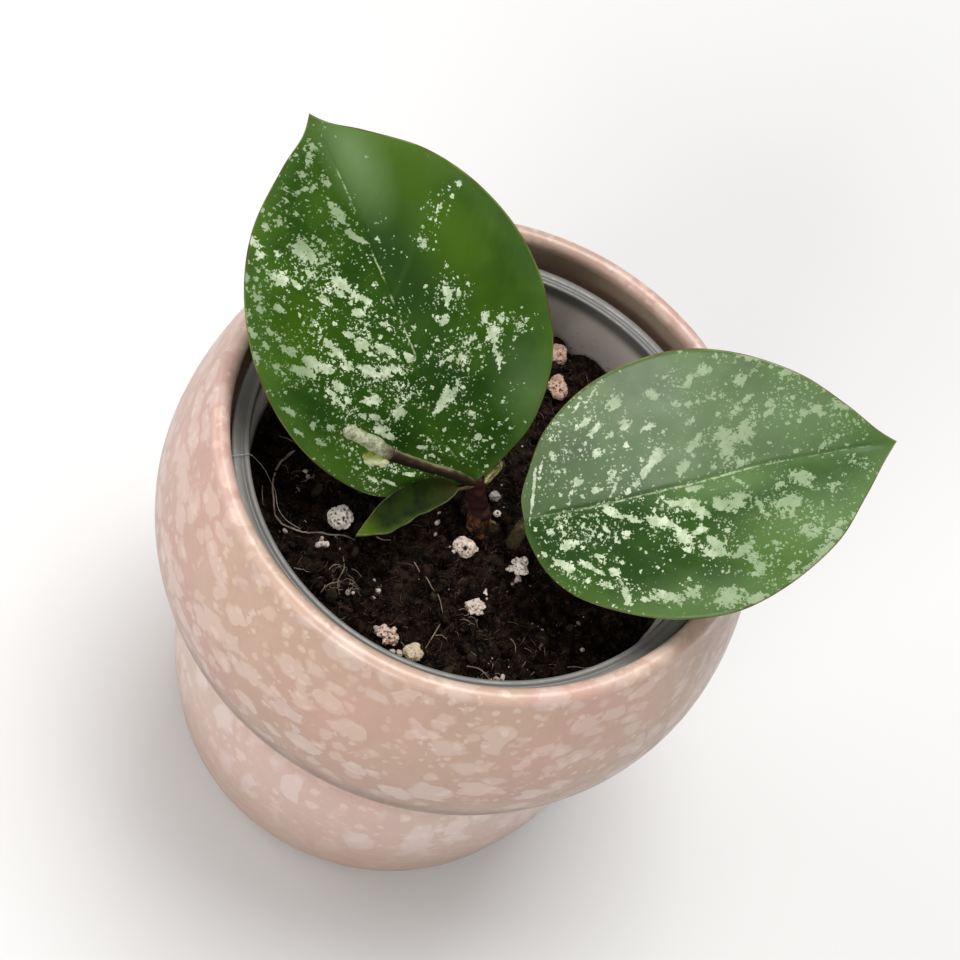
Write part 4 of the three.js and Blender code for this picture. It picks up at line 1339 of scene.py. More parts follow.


# Each leaf lies in its own frame: x along the midrib, y to the left, z out of the upper face.
# A splash is (x, y, half length, half width, turn in degrees, strength). A cloud of painted sheen,
# a cloud where painted sheen greys the splashes, a yellow or a shade cloud has no turn, and a stretch of the
# pale midrib line is (start, end, strength)
leftLeaf = {
    "base": (0.6, -5.85, 103.5), "heading": 156, "rise": 36, "roll": -35.3,
    "leftMargin": [
        (0, 0), (0.6, 4.5), (2.6, 11.9), (7, 18.8), (16, 24), (27, 26.1),
        (38, 25.3), (48.6, 21.7), (57, 16), (63.4, 7.8), (66.5, 2.6), (69.3, 0),
    ],
    "rightMargin": [
        (0, 0), (0.6, -2.1), (2.8, -6.8), (7, -13.2), (16, -20.2), (27, -23.6),
        (38, -23.8), (48.4, -20.8), (57, -15.3), (63.3, -7.7), (66.7, -2.6), (69.3, 0),
    ],
    "midrib": [(0, 0), (5.2, 2.3), (10, 3.1), (17, 2.2), (28, 0.7), (42, 0.1), (56, -0.4), (69.3, 0)],
    "fold": 0.22, "curl": 0.0022, "arch": 3, "tipDrop": 1.2,
    "rows": 190, "columns": 76, "veinSweep": 0.85, "groove": 0.22, "wave": 0,
    "skin": {"splashEdge": 0.485, "roughness": 0.42, "specular": 0.06, "wax": 0},
    "stalk": {
        "path": [(1.3, -5.6, 101.6), (2.1, -4.2, 103.2), (2.9, -2.6, 105), (2.4, -2.2, 105.9)],
        "radii": [0.75, 0.8, 0.5, 0.2], "sides": 22, "steps": 50, "rough": 0.15, "roughScale": 0.8,
    },
    "splashes": [
        # left half, from the tip down
        (64.7, 1.5, 1.6, 0.8, 20, 0.6), (62.5, 3.2, 0.9, 0.6, 40, 0.6), (60.5, 8.4, 1, 0.6, 40, 0.7),
        (59, 6.8, 1.9, 0.5, 80, 0.75), (58.8, 9.4, 1, 0.6, 40, 0.7), (58.4, 2.1, 1, 0.6, 20, 0.75),
        (56.2, 11.7, 0.9, 0.75, 30, 0.85), (55.9, 8.7, 0.6, 0.4, 30, 0.8), (56.3, 14, 0.9, 0.6, 20, 0.7),
        (54.7, 16.7, 1.5, 0.8, 30, 0.65), (53.4, 2.4, 2, 0.9, 8, 0.85), (51.6, 3.4, 0.8, 0.6, 30, 0.8),
        (52.8, 16.8, 0.9, 0.7, 30, 0.7), (51.4, 14.1, 0.9, 0.6, 30, 0.75), (50.3, 10.2, 2.2, 1.3, 30, 1),
        (48.6, 9.4, 1.6, 0.8, 20, 1), (47.4, 8, 1, 0.6, 50, 0.95), (48.2, 1.4, 2.1, 0.45, 32, 1),
        (49.4, 19.3, 0.8, 0.6, 30, 0.7), (48.6, 17.4, 0.7, 0.5, 30, 0.7),
        (47.7, 15.3, 1.8, 0.9, 30, 0.95), (46.3, 10.8, 1, 0.65, 30, 0.9), (45.5, 13.6, 1.1, 0.5, 32, 0.9),
        (44.2, 20.6, 1.3, 0.6, 30, 0.7), (43.4, 17.9, 0.9, 0.6, 30, 0.9), (43.2, 6.9, 1, 0.6, 34, 1),
        (41.9, 6.6, 1.9, 0.55, 34, 0.95), (41.2, 7.6, 1.3, 0.6, 34, 0.9), (40.1, 20.7, 1.3, 0.7, 40, 0.8),
        (41.2, 10.5, 1.4, 0.6, 24, 1), (39.5, 5.6, 1.4, 0.45, 34, 0.95), (38, 4.4, 1.8, 0.5, 32, 1),
        (36.6, 6.4, 1.3, 0.75, 60, 1), (36.3, 19.3, 1.7, 0.8, 36, 1), (34.4, 12.9, 1.3, 0.5, 36, 1),
        (34.2, 9.4, 0.9, 0.6, 50, 0.95), (34.3, 5.7, 0.5, 0.4, 50, 0.9), (33, 3.1, 0.9, 0.4, 60, 0.9),
        (32.7, 16.7, 1.5, 1, 45, 1), (32.1, 19.2, 2.2, 0.9, 60, 1), (32, 12.2, 1.3, 0.7, 30, 0.95),
        (31.4, 8.3, 1.2, 1, 45, 1), (30.7, 17.9, 1.6, 0.6, 50, 1), (30.5, 15.2, 1.4, 0.8, 60, 1),
        (29.2, 5.2, 1.6, 0.75, 44, 1), (27.7, 4.2, 1, 0.6, 40, 1), (29.2, 7.4, 0.8, 0.35, 60, 0.95),
        (29.1, 11.6, 1.4, 0.8, 40, 1), (28.9, 17.9, 0.7, 0.5, 40, 0.8), (27.3, 8.9, 2, 0.7, 56, 1),
        (26, 2, 1.5, 0.6, 20, 1), (25.6, 8, 2.4, 0.65, 56, 1), (24.7, 4.6, 2.4, 0.8, 52, 1),
        (26.9, 14.9, 1.2, 0.8, 40, 0.95), (26.4, 16.3, 1.2, 0.35, 32, 0.9), (24.6, 15.9, 1, 0.4, 36, 0.9),
        (23.8, 14.2, 1, 0.6, 40, 0.9), (26.7, 23.8, 1.3, 0.5, 34, 0.85), (22.7, 24.2, 1.2, 0.5, 34, 0.8),
        (22.6, 21.4, 0.6, 0.6, 0, 0.9), (20.8, 19, 0.9, 0.55, 60, 0.85), (21.9, 11, 1.6, 0.75, 60, 1),
        (22.2, 9.8, 0.8, 0.5, 60, 0.9), (19.1, 11.6, 1.3, 0.6, 40, 0.95), (20.1, 13.2, 1, 0.4, 40, 0.9),
        (17.7, 7.3, 1.25, 1, 70, 1), (19.3, 2.9, 0.55, 0.4, 0, 0.85), (16.3, 11.4, 1.3, 0.8, 50, 0.9),
        (14.9, 11, 1.2, 0.5, 50, 0.9), (19.4, 21.6, 1, 0.45, 34, 0.9), (15.5, 20.2, 0.5, 0.35, 30, 0.8),
        (12.2, 18.3, 0.8, 0.4, 40, 0.85), (9.9, 6.7, 1, 0.4, 50, 0.9), (8, 5.8, 0.9, 0.4, 50, 0.9),
        (8.7, 16.4, 1.7, 0.4, 40, 0.9), (7.2, 14.5, 1.4, 0.4, 40, 0.9), (6.6, 10.6, 1, 0.35, 50, 0.8),
        (52.6, 21.2, 0.8, 0.6, 0, 0.7), (50.6, 20.4, 1, 0.8, 20, 0.75), (46.6, 20.2, 1, 0.7, 20, 0.8),
        (44.8, 23.2, 0.9, 1, 30, 0.7), (41.6, 23.6, 1.2, 0.8, 0, 0.75), (38.4, 22.6, 1, 0.7, 30, 0.75),
        (37.6, 24.8, 1.1, 0.6, 0, 0.7), (63.2, 2.6, 1.1, 0.7, 20, 0.7), (61.4, 5, 0.9, 0.6, 40, 0.7),
        (58.6, 4.2, 0.7, 0.5, 40, 0.75), (34.6, 22.4, 0.9, 0.6, 30, 0.75),
        # right half
        (59.5, -5.8, 0.4, 0.3, 0, 0.7), (49.8, -17.8, 0.5, 0.4, -40, 0.7), (47.6, -13.6, 1.3, 0.4, -42, 0.7),
        (46, -12.2, 1.3, 0.4, -42, 0.7), (43, -8.5, 1.1, 0.6, -50, 0.75), (36, -9.2, 1, 0.6, -42, 0.75),
        (34.4, -8.6, 0.9, 0.6, -42, 0.8), (32.5, -8.3, 1.8, 0.5, -42, 0.95),
        (32.9, -10.3, 0.8, 0.4, -42, 0.85), (30.6, -5.2, 0.8, 0.4, -42, 0.85), (29.5, -6.3, 1.1, 0.6, -55, 1),
        (27.4, -6.4, 0.5, 0.4, 0, 0.85), (27.4, -12.6, 1.3, 0.6, -42, 0.7),
        (26.3, -15.1, 0.9, 0.8, -50, 0.95), (24.3, -12.9, 1.7, 1.1, -40, 0.95),
        (24.8, -9.2, 1.2, 0.5, -52, 0.9), (24.5, -7.6, 0.8, 0.45, -52, 0.9),
        (22.8, -9.8, 0.8, 0.45, -52, 0.85), (23, -4.4, 0.7, 0.55, -50, 0.9), (22.7, -2.6, 0.6, 0.4, -50, 0.8),
        (22.1, -6.3, 1.2, 0.7, -50, 0.95), (21, -11.9, 0.6, 0.5, 0, 0.85), (19.7, -12, 0.8, 0.6, -20, 0.95),
        (18.3, -11.4, 0.8, 0.4, -20, 0.9), (21.9, -15.8, 0.6, 0.4, -40, 0.85),
        (23.8, -17.6, 1.2, 0.9, -40, 0.55), (16.7, -1.4, 2.4, 1.1, -64, 1), (15, 1.4, 1.4, 0.5, -66, 1),
        (18.2, -3.6, 1.2, 0.5, -66, 0.95), (17, -3.9, 1.8, 0.22, -64, 0.9), (18.8, -7.4, 1, 0.3, -64, 0.9),
        (12.2, -3.5, 0.65, 0.6, 0, 1), (7.7, -2.9, 0.75, 0.7, 0, 1), (6.7, -4.7, 0.5, 0.4, 0, 0.95),
        (8.5, -7.2, 0.55, 0.4, -60, 0.9), (10, -8.4, 0.4, 0.3, -60, 0.8), (19.4, 0.6, 0.5, 0.3, 0, 0.8),
        (12.8, 0.4, 0.35, 0.3, 0, 0.7), (5, -4.4, 0.5, 0.3, -60, 0.8),
    ],
    # fields of fine specks: (x, y, half length, half width, turn, how many)
    "speckFields": [
        (64.5, 2.2, 4.5, 2.2, -10, 0.7), (58, 8, 8, 4, 140, 0.5), (46, 8, 7, 7, 0, 0.85),
        (47, 17, 6, 5, 0, 0.6), (37, 14, 7, 8, 0, 0.6), (30, 8, 7, 8, 0, 0.95),
        (23, 11, 7, 8, 0, 1), (31, 19, 4, 5, 0, 0.7), (22, 24, 8, 1.6, -15, 0.5),
        (14, 14, 6, 7, 0, 0.6), (9, 15, 5, 7, 0, 0.7), (8, 6, 4, 4, 0, 0.7), (16, 4, 4, 3, 0, 0.5),
        (47, -13, 3, 1.5, -42, 0.7), (43.5, -8.6, 1.6, 1.4, 0, 0.6), (32, -7.5, 4.5, 2.5, -42, 0.9),
        (23, -8, 3.5, 7.5, 0, 0.95), (23.8, -17.6, 1.8, 1.6, 0, 1), (18, -4, 3, 5, 0, 0.6),
        (10, -6, 5, 4.5, 0, 0.45), (6, -1, 4, 3, 0, 0.5), (41, 22, 8, 2.5, -10, 0.55),
    ],
    "ribLine": [
        (4, 9, 0.35), (12, 15, 0.3), (25, 34, 0.75), (35, 37.5, 0.9), (39, 45, 0.8), (50.5, 60, 0.55)
    ],
    "paintedSheen": [(61, -4, 7, 3, 0.55), (12, -15, 6, 4, 0.3)],
    "sheenDulled": [(60, 3, 9, 8, 1), (40, 24, 16, 5, 0.9), (20, 22, 10, 4, 0.5)],
    "yellow": [(56, -9, 7, 6, 0.75), (42, -12, 7, 5, 0.7), (38, 14, 7, 5, 0.5), (32, -14, 6, 5, 0.35)],
    "shade": [(25, 6, 14, 9, 0.45), (38, -3, 13, 5, 0.5)],
}
rightLeaf = {
    "base": (10.57, -11.86, 107), "heading": 26.5, "rise": 31.4, "roll": 29.8,
    "leftMargin": [
        (0, 0), (0.5, 3.8), (2.6, 7.6), (7.2, 13.9), (15, 19.3), (24, 22),
        (33.5, 22.4), (42.7, 19.6), (51.4, 14.2), (57.5, 7.8), (61.5, 2.6), (64.1, 0),
    ],
    "rightMargin": [
        (0, 0), (0.1, -3.6), (2.4, -9.6), (7, -14.6), (15, -18.8), (24, -21.5),
        (33.5, -21.9), (42.7, -19.2), (51.6, -14.1), (57.3, -8), (61.4, -3), (64.1, 0),
    ],
    "midrib": [(0, 0), (14, -0.2), (28, 0.1), (42, 0.8), (54, 0.5), (64.1, 0)],
    "fold": 0.25, "curl": 0.0026, "arch": 2.5, "tipDrop": 0.8,
    "rows": 190, "columns": 76, "veinSweep": 0.9, "groove": 0.22, "wave": 0,
    "skin": {"splashEdge": 0.465, "roughness": 0.36, "specular": 0.24, "wax": 0.37},
    "stalk": {
        "path": [
            (11.2, -6.6, 84), (11.1, -7.4, 91), (11, -9.8, 99), (11.2, -11.4, 104.6), (13.4, -10.1, 108)
        ],
        "radii": [1.4, 1.35, 1.25, 1.3, 0.7], "sides": 22, "steps": 60, "rough": 0.12, "roughScale": 0.8,
    },
    "splashes": [
        # upper half
        (20.5, 16.2, 1.6, 0.85, 40, 0.8), (16.4, 12.7, 1.6, 0.5, 26, 0.95), (14.8, 14, 0.9, 0.5, 26, 0.85),
        (21.2, 12.3, 1.1, 0.9, 60, 0.9), (18.6, 11.1, 0.8, 0.5, 30, 0.9), (25.2, 11, 1.5, 0.5, 10, 0.8),
        (27.4, 15.7, 0.6, 0.7, 60, 0.75), (29.8, 18.5, 0.6, 0.4, 30, 0.65), (33.4, 16.9, 1.6, 0.7, 60, 0.6),
        (36.7, 18, 1.2, 0.8, 20, 0.6), (41.4, 15.6, 1.1, 1.1, 0, 0.75), (36.6, 13.8, 1.7, 0.35, 26, 0.65),
        (32.7, 13.2, 0.7, 0.6, 50, 0.6), (41.9, 12.2, 1.5, 0.6, 30, 0.65), (45.2, 9.1, 0.8, 0.7, 30, 0.7),
        (50.5, 7.7, 0.9, 0.7, 30, 0.7), (53.4, 7.1, 0.7, 0.6, 30, 0.7), (55.9, 8.1, 1.2, 0.8, 10, 0.7),
        (55.1, 10.8, 1.2, 0.4, 0, 0.6), (36.8, 7.3, 1.5, 1, 30, 0.95), (40.5, 7.1, 1.9, 1.3, 60, 0.95),
        (38.6, 6.2, 1, 0.6, 0, 0.9), (36.7, 4.8, 2, 1.4, 70, 1), (31.5, 6.3, 1.3, 0.7, 30, 0.9),
        (32.8, 7.6, 0.8, 0.4, 50, 0.85), (29, 3.2, 1.7, 0.8, 40, 1), (24.5, 5.3, 2.7, 0.75, 42, 1),
        (25.6, 6.4, 1, 0.9, 60, 1), (22.6, 3.6, 0.9, 0.6, 50, 0.95), (20.6, 8.8, 0.5, 0.6, 0, 0.9),
        (15.6, 8.7, 0.9, 0.7, 30, 0.85), (7.8, 9.9, 0.5, 0.7, 0, 0.85), (17, 4.1, 1.5, 0.7, 56, 0.95),
        (17.2, 2.6, 2.2, 0.28, 52, 0.95), (10.7, 4.3, 1, 0.8, 30, 0.85), (13.9, 2.6, 0.8, 0.8, 0, 0.9),
        (9.1, 2.7, 0.9, 0.6, 60, 0.85), (3, 4.7, 3.8, 0.26, 69, 1), (9.4, 6.8, 0.7, 0.3, 60, 0.85),
        (38.5, 2, 0.85, 0.6, 60, 0.95), (48.1, 1.9, 0.5, 0.4, 0, 0.7), (52.6, 1.7, 1.5, 0.5, 10, 0.65),
        (19.1, 1.1, 0.7, 0.4, 40, 0.9), (20.8, 2.1, 0.7, 0.5, 40, 0.9), (14, 16.8, 2.4, 0.35, 50, 0.8),
        (17, 18.2, 2.2, 0.3, 46, 0.75), (5.2, 8, 1.4, 0.25, 66, 0.85), (44, 4.2, 0.6, 0.5, 0, 0.7),
        (34.2, 2.2, 0.5, 0.4, 40, 0.85), (47.4, 12.4, 0.9, 0.5, 20, 0.6), (36.3, 18.4, 1.4, 0.9, 30, 0.8),
        (44.5, 18.6, 2.4, 0.6, -20, 0.75), (49.4, 14.9, 1.2, 0.8, 0, 0.75), (56, 11.2, 1.3, 0.9, -30, 0.75),
        (39.7, 10.4, 1.5, 0.6, 30, 0.7), (45.5, 10.4, 0.8, 1, 0, 0.75), (52.4, 8.2, 1, 0.8, 0, 0.8),
        (57.2, 7.4, 1.4, 0.7, -30, 0.75), (26.9, 16.3, 0.8, 1.1, 60, 0.75), (32.1, 10.4, 1.2, 0.6, 30, 0.8),
        (30.6, 13.6, 0.6, 0.8, 60, 0.75), (54.3, 2.4, 1.7, 0.5, 20, 0.75),
        # lower half
        (15.6, -1.6, 1.6, 0.75, -38, 1), (18.7, -3.2, 1.5, 0.45, -36, 1), (23, -4.7, 2.2, 0.8, -36, 1),
        (26, -2.4, 1.8, 0.5, -24, 1), (28.6, -2.9, 2.4, 0.9, -12, 1), (30.7, -4.7, 1.9, 0.9, -42, 1),
        (30.2, -0.7, 1.3, 0.4, 0, 1), (27, -8.2, 1.9, 1.3, -40, 1), (25.6, -5.9, 2.2, 0.5, -46, 1),
        (29.8, -7.7, 1.6, 0.6, 0, 1), (32, -10.5, 1.6, 1.1, -70, 1), (31.2, -11.6, 2.1, 0.8, -10, 1),
        (33.8, -3.9, 1.3, 0.9, -20, 1), (36.8, -4, 1.6, 1.4, 30, 1), (37.7, -0.9, 1.5, 0.28, -40, 1),
        (38.6, -1.6, 1.2, 0.22, -40, 0.9), (51.8, -12.2, 2.2, 1.1, 40, 0.8), (55.6, -11, 1.4, 1, 50, 0.8),
        (47.4, -11.9, 1.2, 0.9, 0, 0.8), (49.4, -14.9, 1.9, 0.9, 30, 0.8), (47.1, -17.2, 1.5, 0.8, 20, 0.8),
        (44.4, -18.4, 2.2, 0.7, 10, 0.8), (38.7, -15.4, 1.6, 1.1, 20, 0.85), (32.2, -19.6, 2.8, 1.2, 0, 0.9),
        (36.8, -20.4, 2.2, 0.8, 10, 0.85), (15.6, -16.6, 0.7, 1, 0, 0.9), (41.6, -12.4, 1.2, 0.7, 0, 0.75),
        (48, -2.7, 1.9, 1.1, -30, 0.95), (44.1, -2.8, 0.8, 0.55, 0, 0.9), (40.4, -5.6, 1.2, 0.7, -60, 0.9),
        (41, -7.2, 1.3, 0.6, -60, 0.85), (44.6, -5.8, 1.9, 0.9, 20, 0.85), (44.8, -7.4, 2, 0.5, -50, 0.85),
        (46.4, -6.2, 1.2, 0.7, 30, 0.8), (43.2, -6.2, 1, 0.6, -50, 0.8), (52.6, -5, 1.2, 0.6, 0, 0.8),
        (36.2, -12.2, 1.6, 0.75, 10, 0.95), (37.7, -13.7, 1, 0.8, -20, 0.85),
        (37.9, -11.2, 0.9, 0.4, 0, 0.85), (34.3, -8.5, 0.5, 0.4, 0, 0.85), (7, -5.8, 1.25, 0.8, 0, 1),
        (5.5, -8.7, 1.5, 0.5, -30, 1), (6.6, -9.6, 0.9, 0.5, 0, 0.95), (9.7, -9.6, 1.2, 0.5, -30, 0.9),
        (11.5, -11.2, 0.9, 0.4, -30, 0.85), (12, -8.6, 0.8, 0.35, -20, 0.85), (17.5, -5.7, 0.75, 0.65, 0, 1),
        (14, -4.1, 0.9, 0.3, -52, 0.95), (15.6, -6.5, 0.8, 0.3, -52, 0.9), (15.9, -10.3, 0.5, 0.4, 0, 0.85),
        (14.5, -11.9, 1.2, 0.7, -52, 0.9), (12.7, -13.7, 1.2, 0.5, -20, 0.85),
        (15.5, -15.2, 1.2, 0.55, -70, 0.9), (18.5, -17, 1.1, 0.5, -30, 0.8), (21.9, -17.4, 2.9, 1, -14, 0.85),
        (26.6, -17.2, 1.4, 0.9, -20, 0.85), (28, -16.6, 0.8, 0.5, 10, 0.8), (32.7, -18.2, 2.2, 0.8, 0, 0.65),
        (46.6, -11, 1.5, 0.8, 10, 0.65), (48.6, -11.4, 1.2, 0.8, -20, 0.65), (43.4, -16.5, 1.3, 0.5, 20, 0.6),
        (27.5, -10.3, 1.1, 0.5, -20, 0.9), (4.4, -3, 0.6, 0.5, 0, 0.9), (2.6, -6.4, 0.5, 0.4, 0, 0.85),
        (21.6, -12.2, 0.45, 0.35, 0, 0.8), (20, -9.6, 0.4, 0.4, 0, 0.8), (10.2, -4.2, 0.4, 0.4, 0, 0.85),
        (8.4, -12.2, 0.5, 0.4, 0, 0.8), (50.2, -7.6, 0.9, 0.4, 10, 0.65), (40, -15.6, 1, 0.4, 20, 0.6),
    ],
    "speckFields": [
        (12, 14, 8, 4, 40, 0.85), (8, 7, 5, 5, 0, 0.6), (18, 10, 6, 5, 0, 0.45), (33, 16, 5, 4, 0, 0.6),
        (44, 17.5, 5, 2, -20, 0.9), (48, 10, 8, 6, 0, 0.55), (56, 6, 4, 4, 0, 0.7), (38, 3, 5, 4, 0, 0.7),
        (33, 7, 4, 4, 0, 0.6), (26, 8, 5, 4, 0, 0.4), (12, -3, 8, 3.5, 0, 1), (24, -2.5, 6, 3, 0, 0.9),
        (28, -7, 5, 4, -30, 0.85), (9, -9, 6, 5, 0, 0.85), (15, -13, 5, 4, 0, 0.7),
        (33, -10, 5, 4, 0, 0.8), (42, -5, 6, 4, 0, 0.85), (48, -10, 7, 6, 0, 0.7),
        (40, -15, 7, 3.5, 10, 0.7), (57, -3, 3.5, 2.5, 0, 0.85), (39, -9.5, 4, 3, 0, 0.5),
        (26, -18, 7, 2, 0, 0.5), (50, 15, 6, 3, -30, 0.8), (42, 10, 6, 5, 0, 0.6),
        (52, -14, 6, 4, 30, 0.85), (42, -19, 8, 2.5, 10, 0.8), (36, -14, 5, 4, 0, 0.6),
    ],
    "ribLine": [(1, 9, 0.3), (9, 16, 0.5), (15, 26, 0.8), (26, 41, 0.85), (40, 48, 0.55), (48, 61, 0.28)],
    "paintedSheen": [
        (28, 5, 18, 4, 0.3), (36, -1, 9, 2.2, 0.45), (30, 14, 18, 9, 0.25),
        (50, 8, 14, 7, 0.4), (52, -10, 12, 5, 0.45), (32, -19, 16, 3, 0.3),
    ],
    "sheenDulled": [(54, 8, 18, 14, 1), (52, -14, 14, 8, 0.9), (36, -21, 16, 4, 0.6), (34, 18, 12, 6, 0.7)],
    "yellow": [(40, -11, 5, 3, 0.5), (37, 11, 6, 4, 0.35), (34, -8, 3, 2, 0.2)],
    "shade": [
        (14, -4, 12, 4, 0.6), (21, -10, 7, 4, 0.5), (35, -8, 3, 2.5, 0.45),
        (56, -3, 6, 3, 0.5), (25, -3, 8, 2.5, 0.4),
    ],
}
youngLeaf = {
    "base": (-1.9, -10, 104), "heading": 231.7, "rise": -8.7, "roll": -6,
    "leftMargin": [
        (0, 0), (1.4, 0.9), (4.6, 1.7), (8.6, 1.9), (11.6, 2.3), (14.6, 2.5), (17.6, 1.4), (20, 0)
    ],
    "rightMargin": [
        (0, 0), (1, -1.9), (3.4, -3.3), (6.6, -3.9), (10.2, -3.8), (14, -3), (17.4, -1.4), (20, 0)
    ],
    "midrib": [(0, 0), (20, 0)],
    "fold": 0.35, "curl": 0.006, "arch": 0.8, "tipDrop": 0.4,
    "rows": 110, "columns": 30, "veinSweep": 1, "groove": 0, "wave": 0.12,
    "stalk": {
        "path": [(0.1, -7.6, 103.1), (-1.2, -9.2, 103.6), (-3, -10.9, 103.4)],
        "radii": [0.5, 0.4, 0.4], "sides": 16, "steps": 24, "rough": 0.2, "roughScale": 1,
    },
    "green": paint(14, 28, 5), "olive": paint(30, 44, 8), "litHalf": paint(62, 76, 34),
    "stalkEnd": paint(64, 58, 26), "tip": paint(72, 92, 20), "rim": paint(122, 122, 90),
    "under": paint(76, 98, 48), "underDeep": paint(58, 80, 36),
    "splashes": [], "speckFields": [], "ribLine": [], "paintedSheen": [], "sheenDulled": [], "yellow": [], "shade": [],
}
# Thickness in the middle and at the edge, the rib's height below, and where the edge starts to round
blade = {"middle": 1.4, "edge": 0.7, "rib": 0.8, "roundFrom": 0.965}
# Splashes are torn by two noises; flecks are one fine noise and two sizes of round dots
leafSkin = {
    "tear": 1.25, "nibble": 1.7, "edgeSoftness": 0.05, "veinShare": 0.12, "splashRelief": 0.04,
    "fine": {"Scale": 1.5, "Softness": 0.012}, "fineAmount": 0.46,
    "dots": {"Scale": 1.05, "Size": 0.44, "Softness": 0.05, "Warp": 1.2}, "dotAmount": 0.5,
    "specks": {"Scale": 2, "Size": 0.42, "Softness": 0.08, "Warp": 1.1}, "speckAmount": 0.7,
    "holes": {"Scale": 1.7, "Size": 0.34, "Presence": 0.3, "Softness": 0.05, "Warp": 1.2}, "holeDepth": 0.7,
}
leafPaints = {
    "green": paint(54, 86, 20), "deep": paint(31, 60, 13), "yellow": paint(60, 92, 6),
    # painted sheen: the greyer green laid in the sheen clouds, and further down the grey that splashes take
    # under it
    "light": paint(84, 114, 50), "paintedSheen": paint(104, 132, 84),
    "splash": paint(208, 219, 191), "splashDull": paint(168, 184, 150),
    "splashSheenGrey": paint(144, 164, 126), "margin": paint(112, 120, 64), "marginBrown": paint(88, 64, 38),
    "under": paint(96, 124, 70), "rib": paint(166, 182, 136), "stalk": paint(104, 100, 52),
    "stalkOlive": paint(62, 54, 32), "stalkBrown": paint(54, 38, 24), "stalkPale": paint(176, 178, 128),
}


def leafMatrix(plan):
    turn = Matrix.Rotation(math.radians(plan["heading"]), 4, "Z")
    rise = Matrix.Rotation(math.radians(-plan["rise"]), 4, "Y")
    roll = Matrix.Rotation(math.radians(plan["roll"]), 4, "X")
    return Matrix.Translation(Vector(plan["base"])) @ turn @ rise @ roll


def midribAt(points, x):
    for (x0, y0), (x1, y1) in zip(points, points[1:]):
        if x <= x1:
            return mix(y0, y1, smooth(x0, x1, x))
    return points[-1][1]


# Strength of soft ellipses at a point, the strongest counting
def fieldAt(x, y, ellipses):
    best = 0
    for cx, cy, reach, cosTurn, sinTurn, half, width, strength in ellipses:
        dx = x - cx
        dy = y - cy
        if abs(dx) > reach or abs(dy) > reach:
            continue
        along = (dx * cosTurn + dy * sinTurn) / half
        across = (dy * cosTurn - dx * sinTurn) / width
        away = math.sqrt(along * along + across * across)
        best = max(best, strength * max(0, 1 - 0.5 * away))
    return best


def ellipsesOf(entries):
    found = []
    for x, y, half, width, turn, strength in entries:
        angle = math.radians(turn)
        found.append((x, y, 2 * max(half, width), math.cos(angle), math.sin(angle), half, width, strength))
    return found


# Where the columns lie from the right margin (-1) over the midrib (0) to the left margin (1)
def columnShares(count):
    straight = blade["roundFrom"]
    half = []
    for step in range(count + 1):
        half.append(straight * (0.55 * step / count + 0.45 * math.sin(step / count * math.pi / 2)))
    half += [straight + (1 - straight) * share for share in (0.3, 0.6, 0.82, 0.95, 1)]
    return [-share for share in half[:0:-1]] + half


# Strength of the pale midrib line at x: stretches are (start, end, strength)
def ribLineAt(x, stretches):
    found = [0]
    for start, end, strength in stretches:
        found.append(strength * smooth(start, start + 1.5, x) * (1 - smooth(end - 1.5, end, x)))
    return max(found)


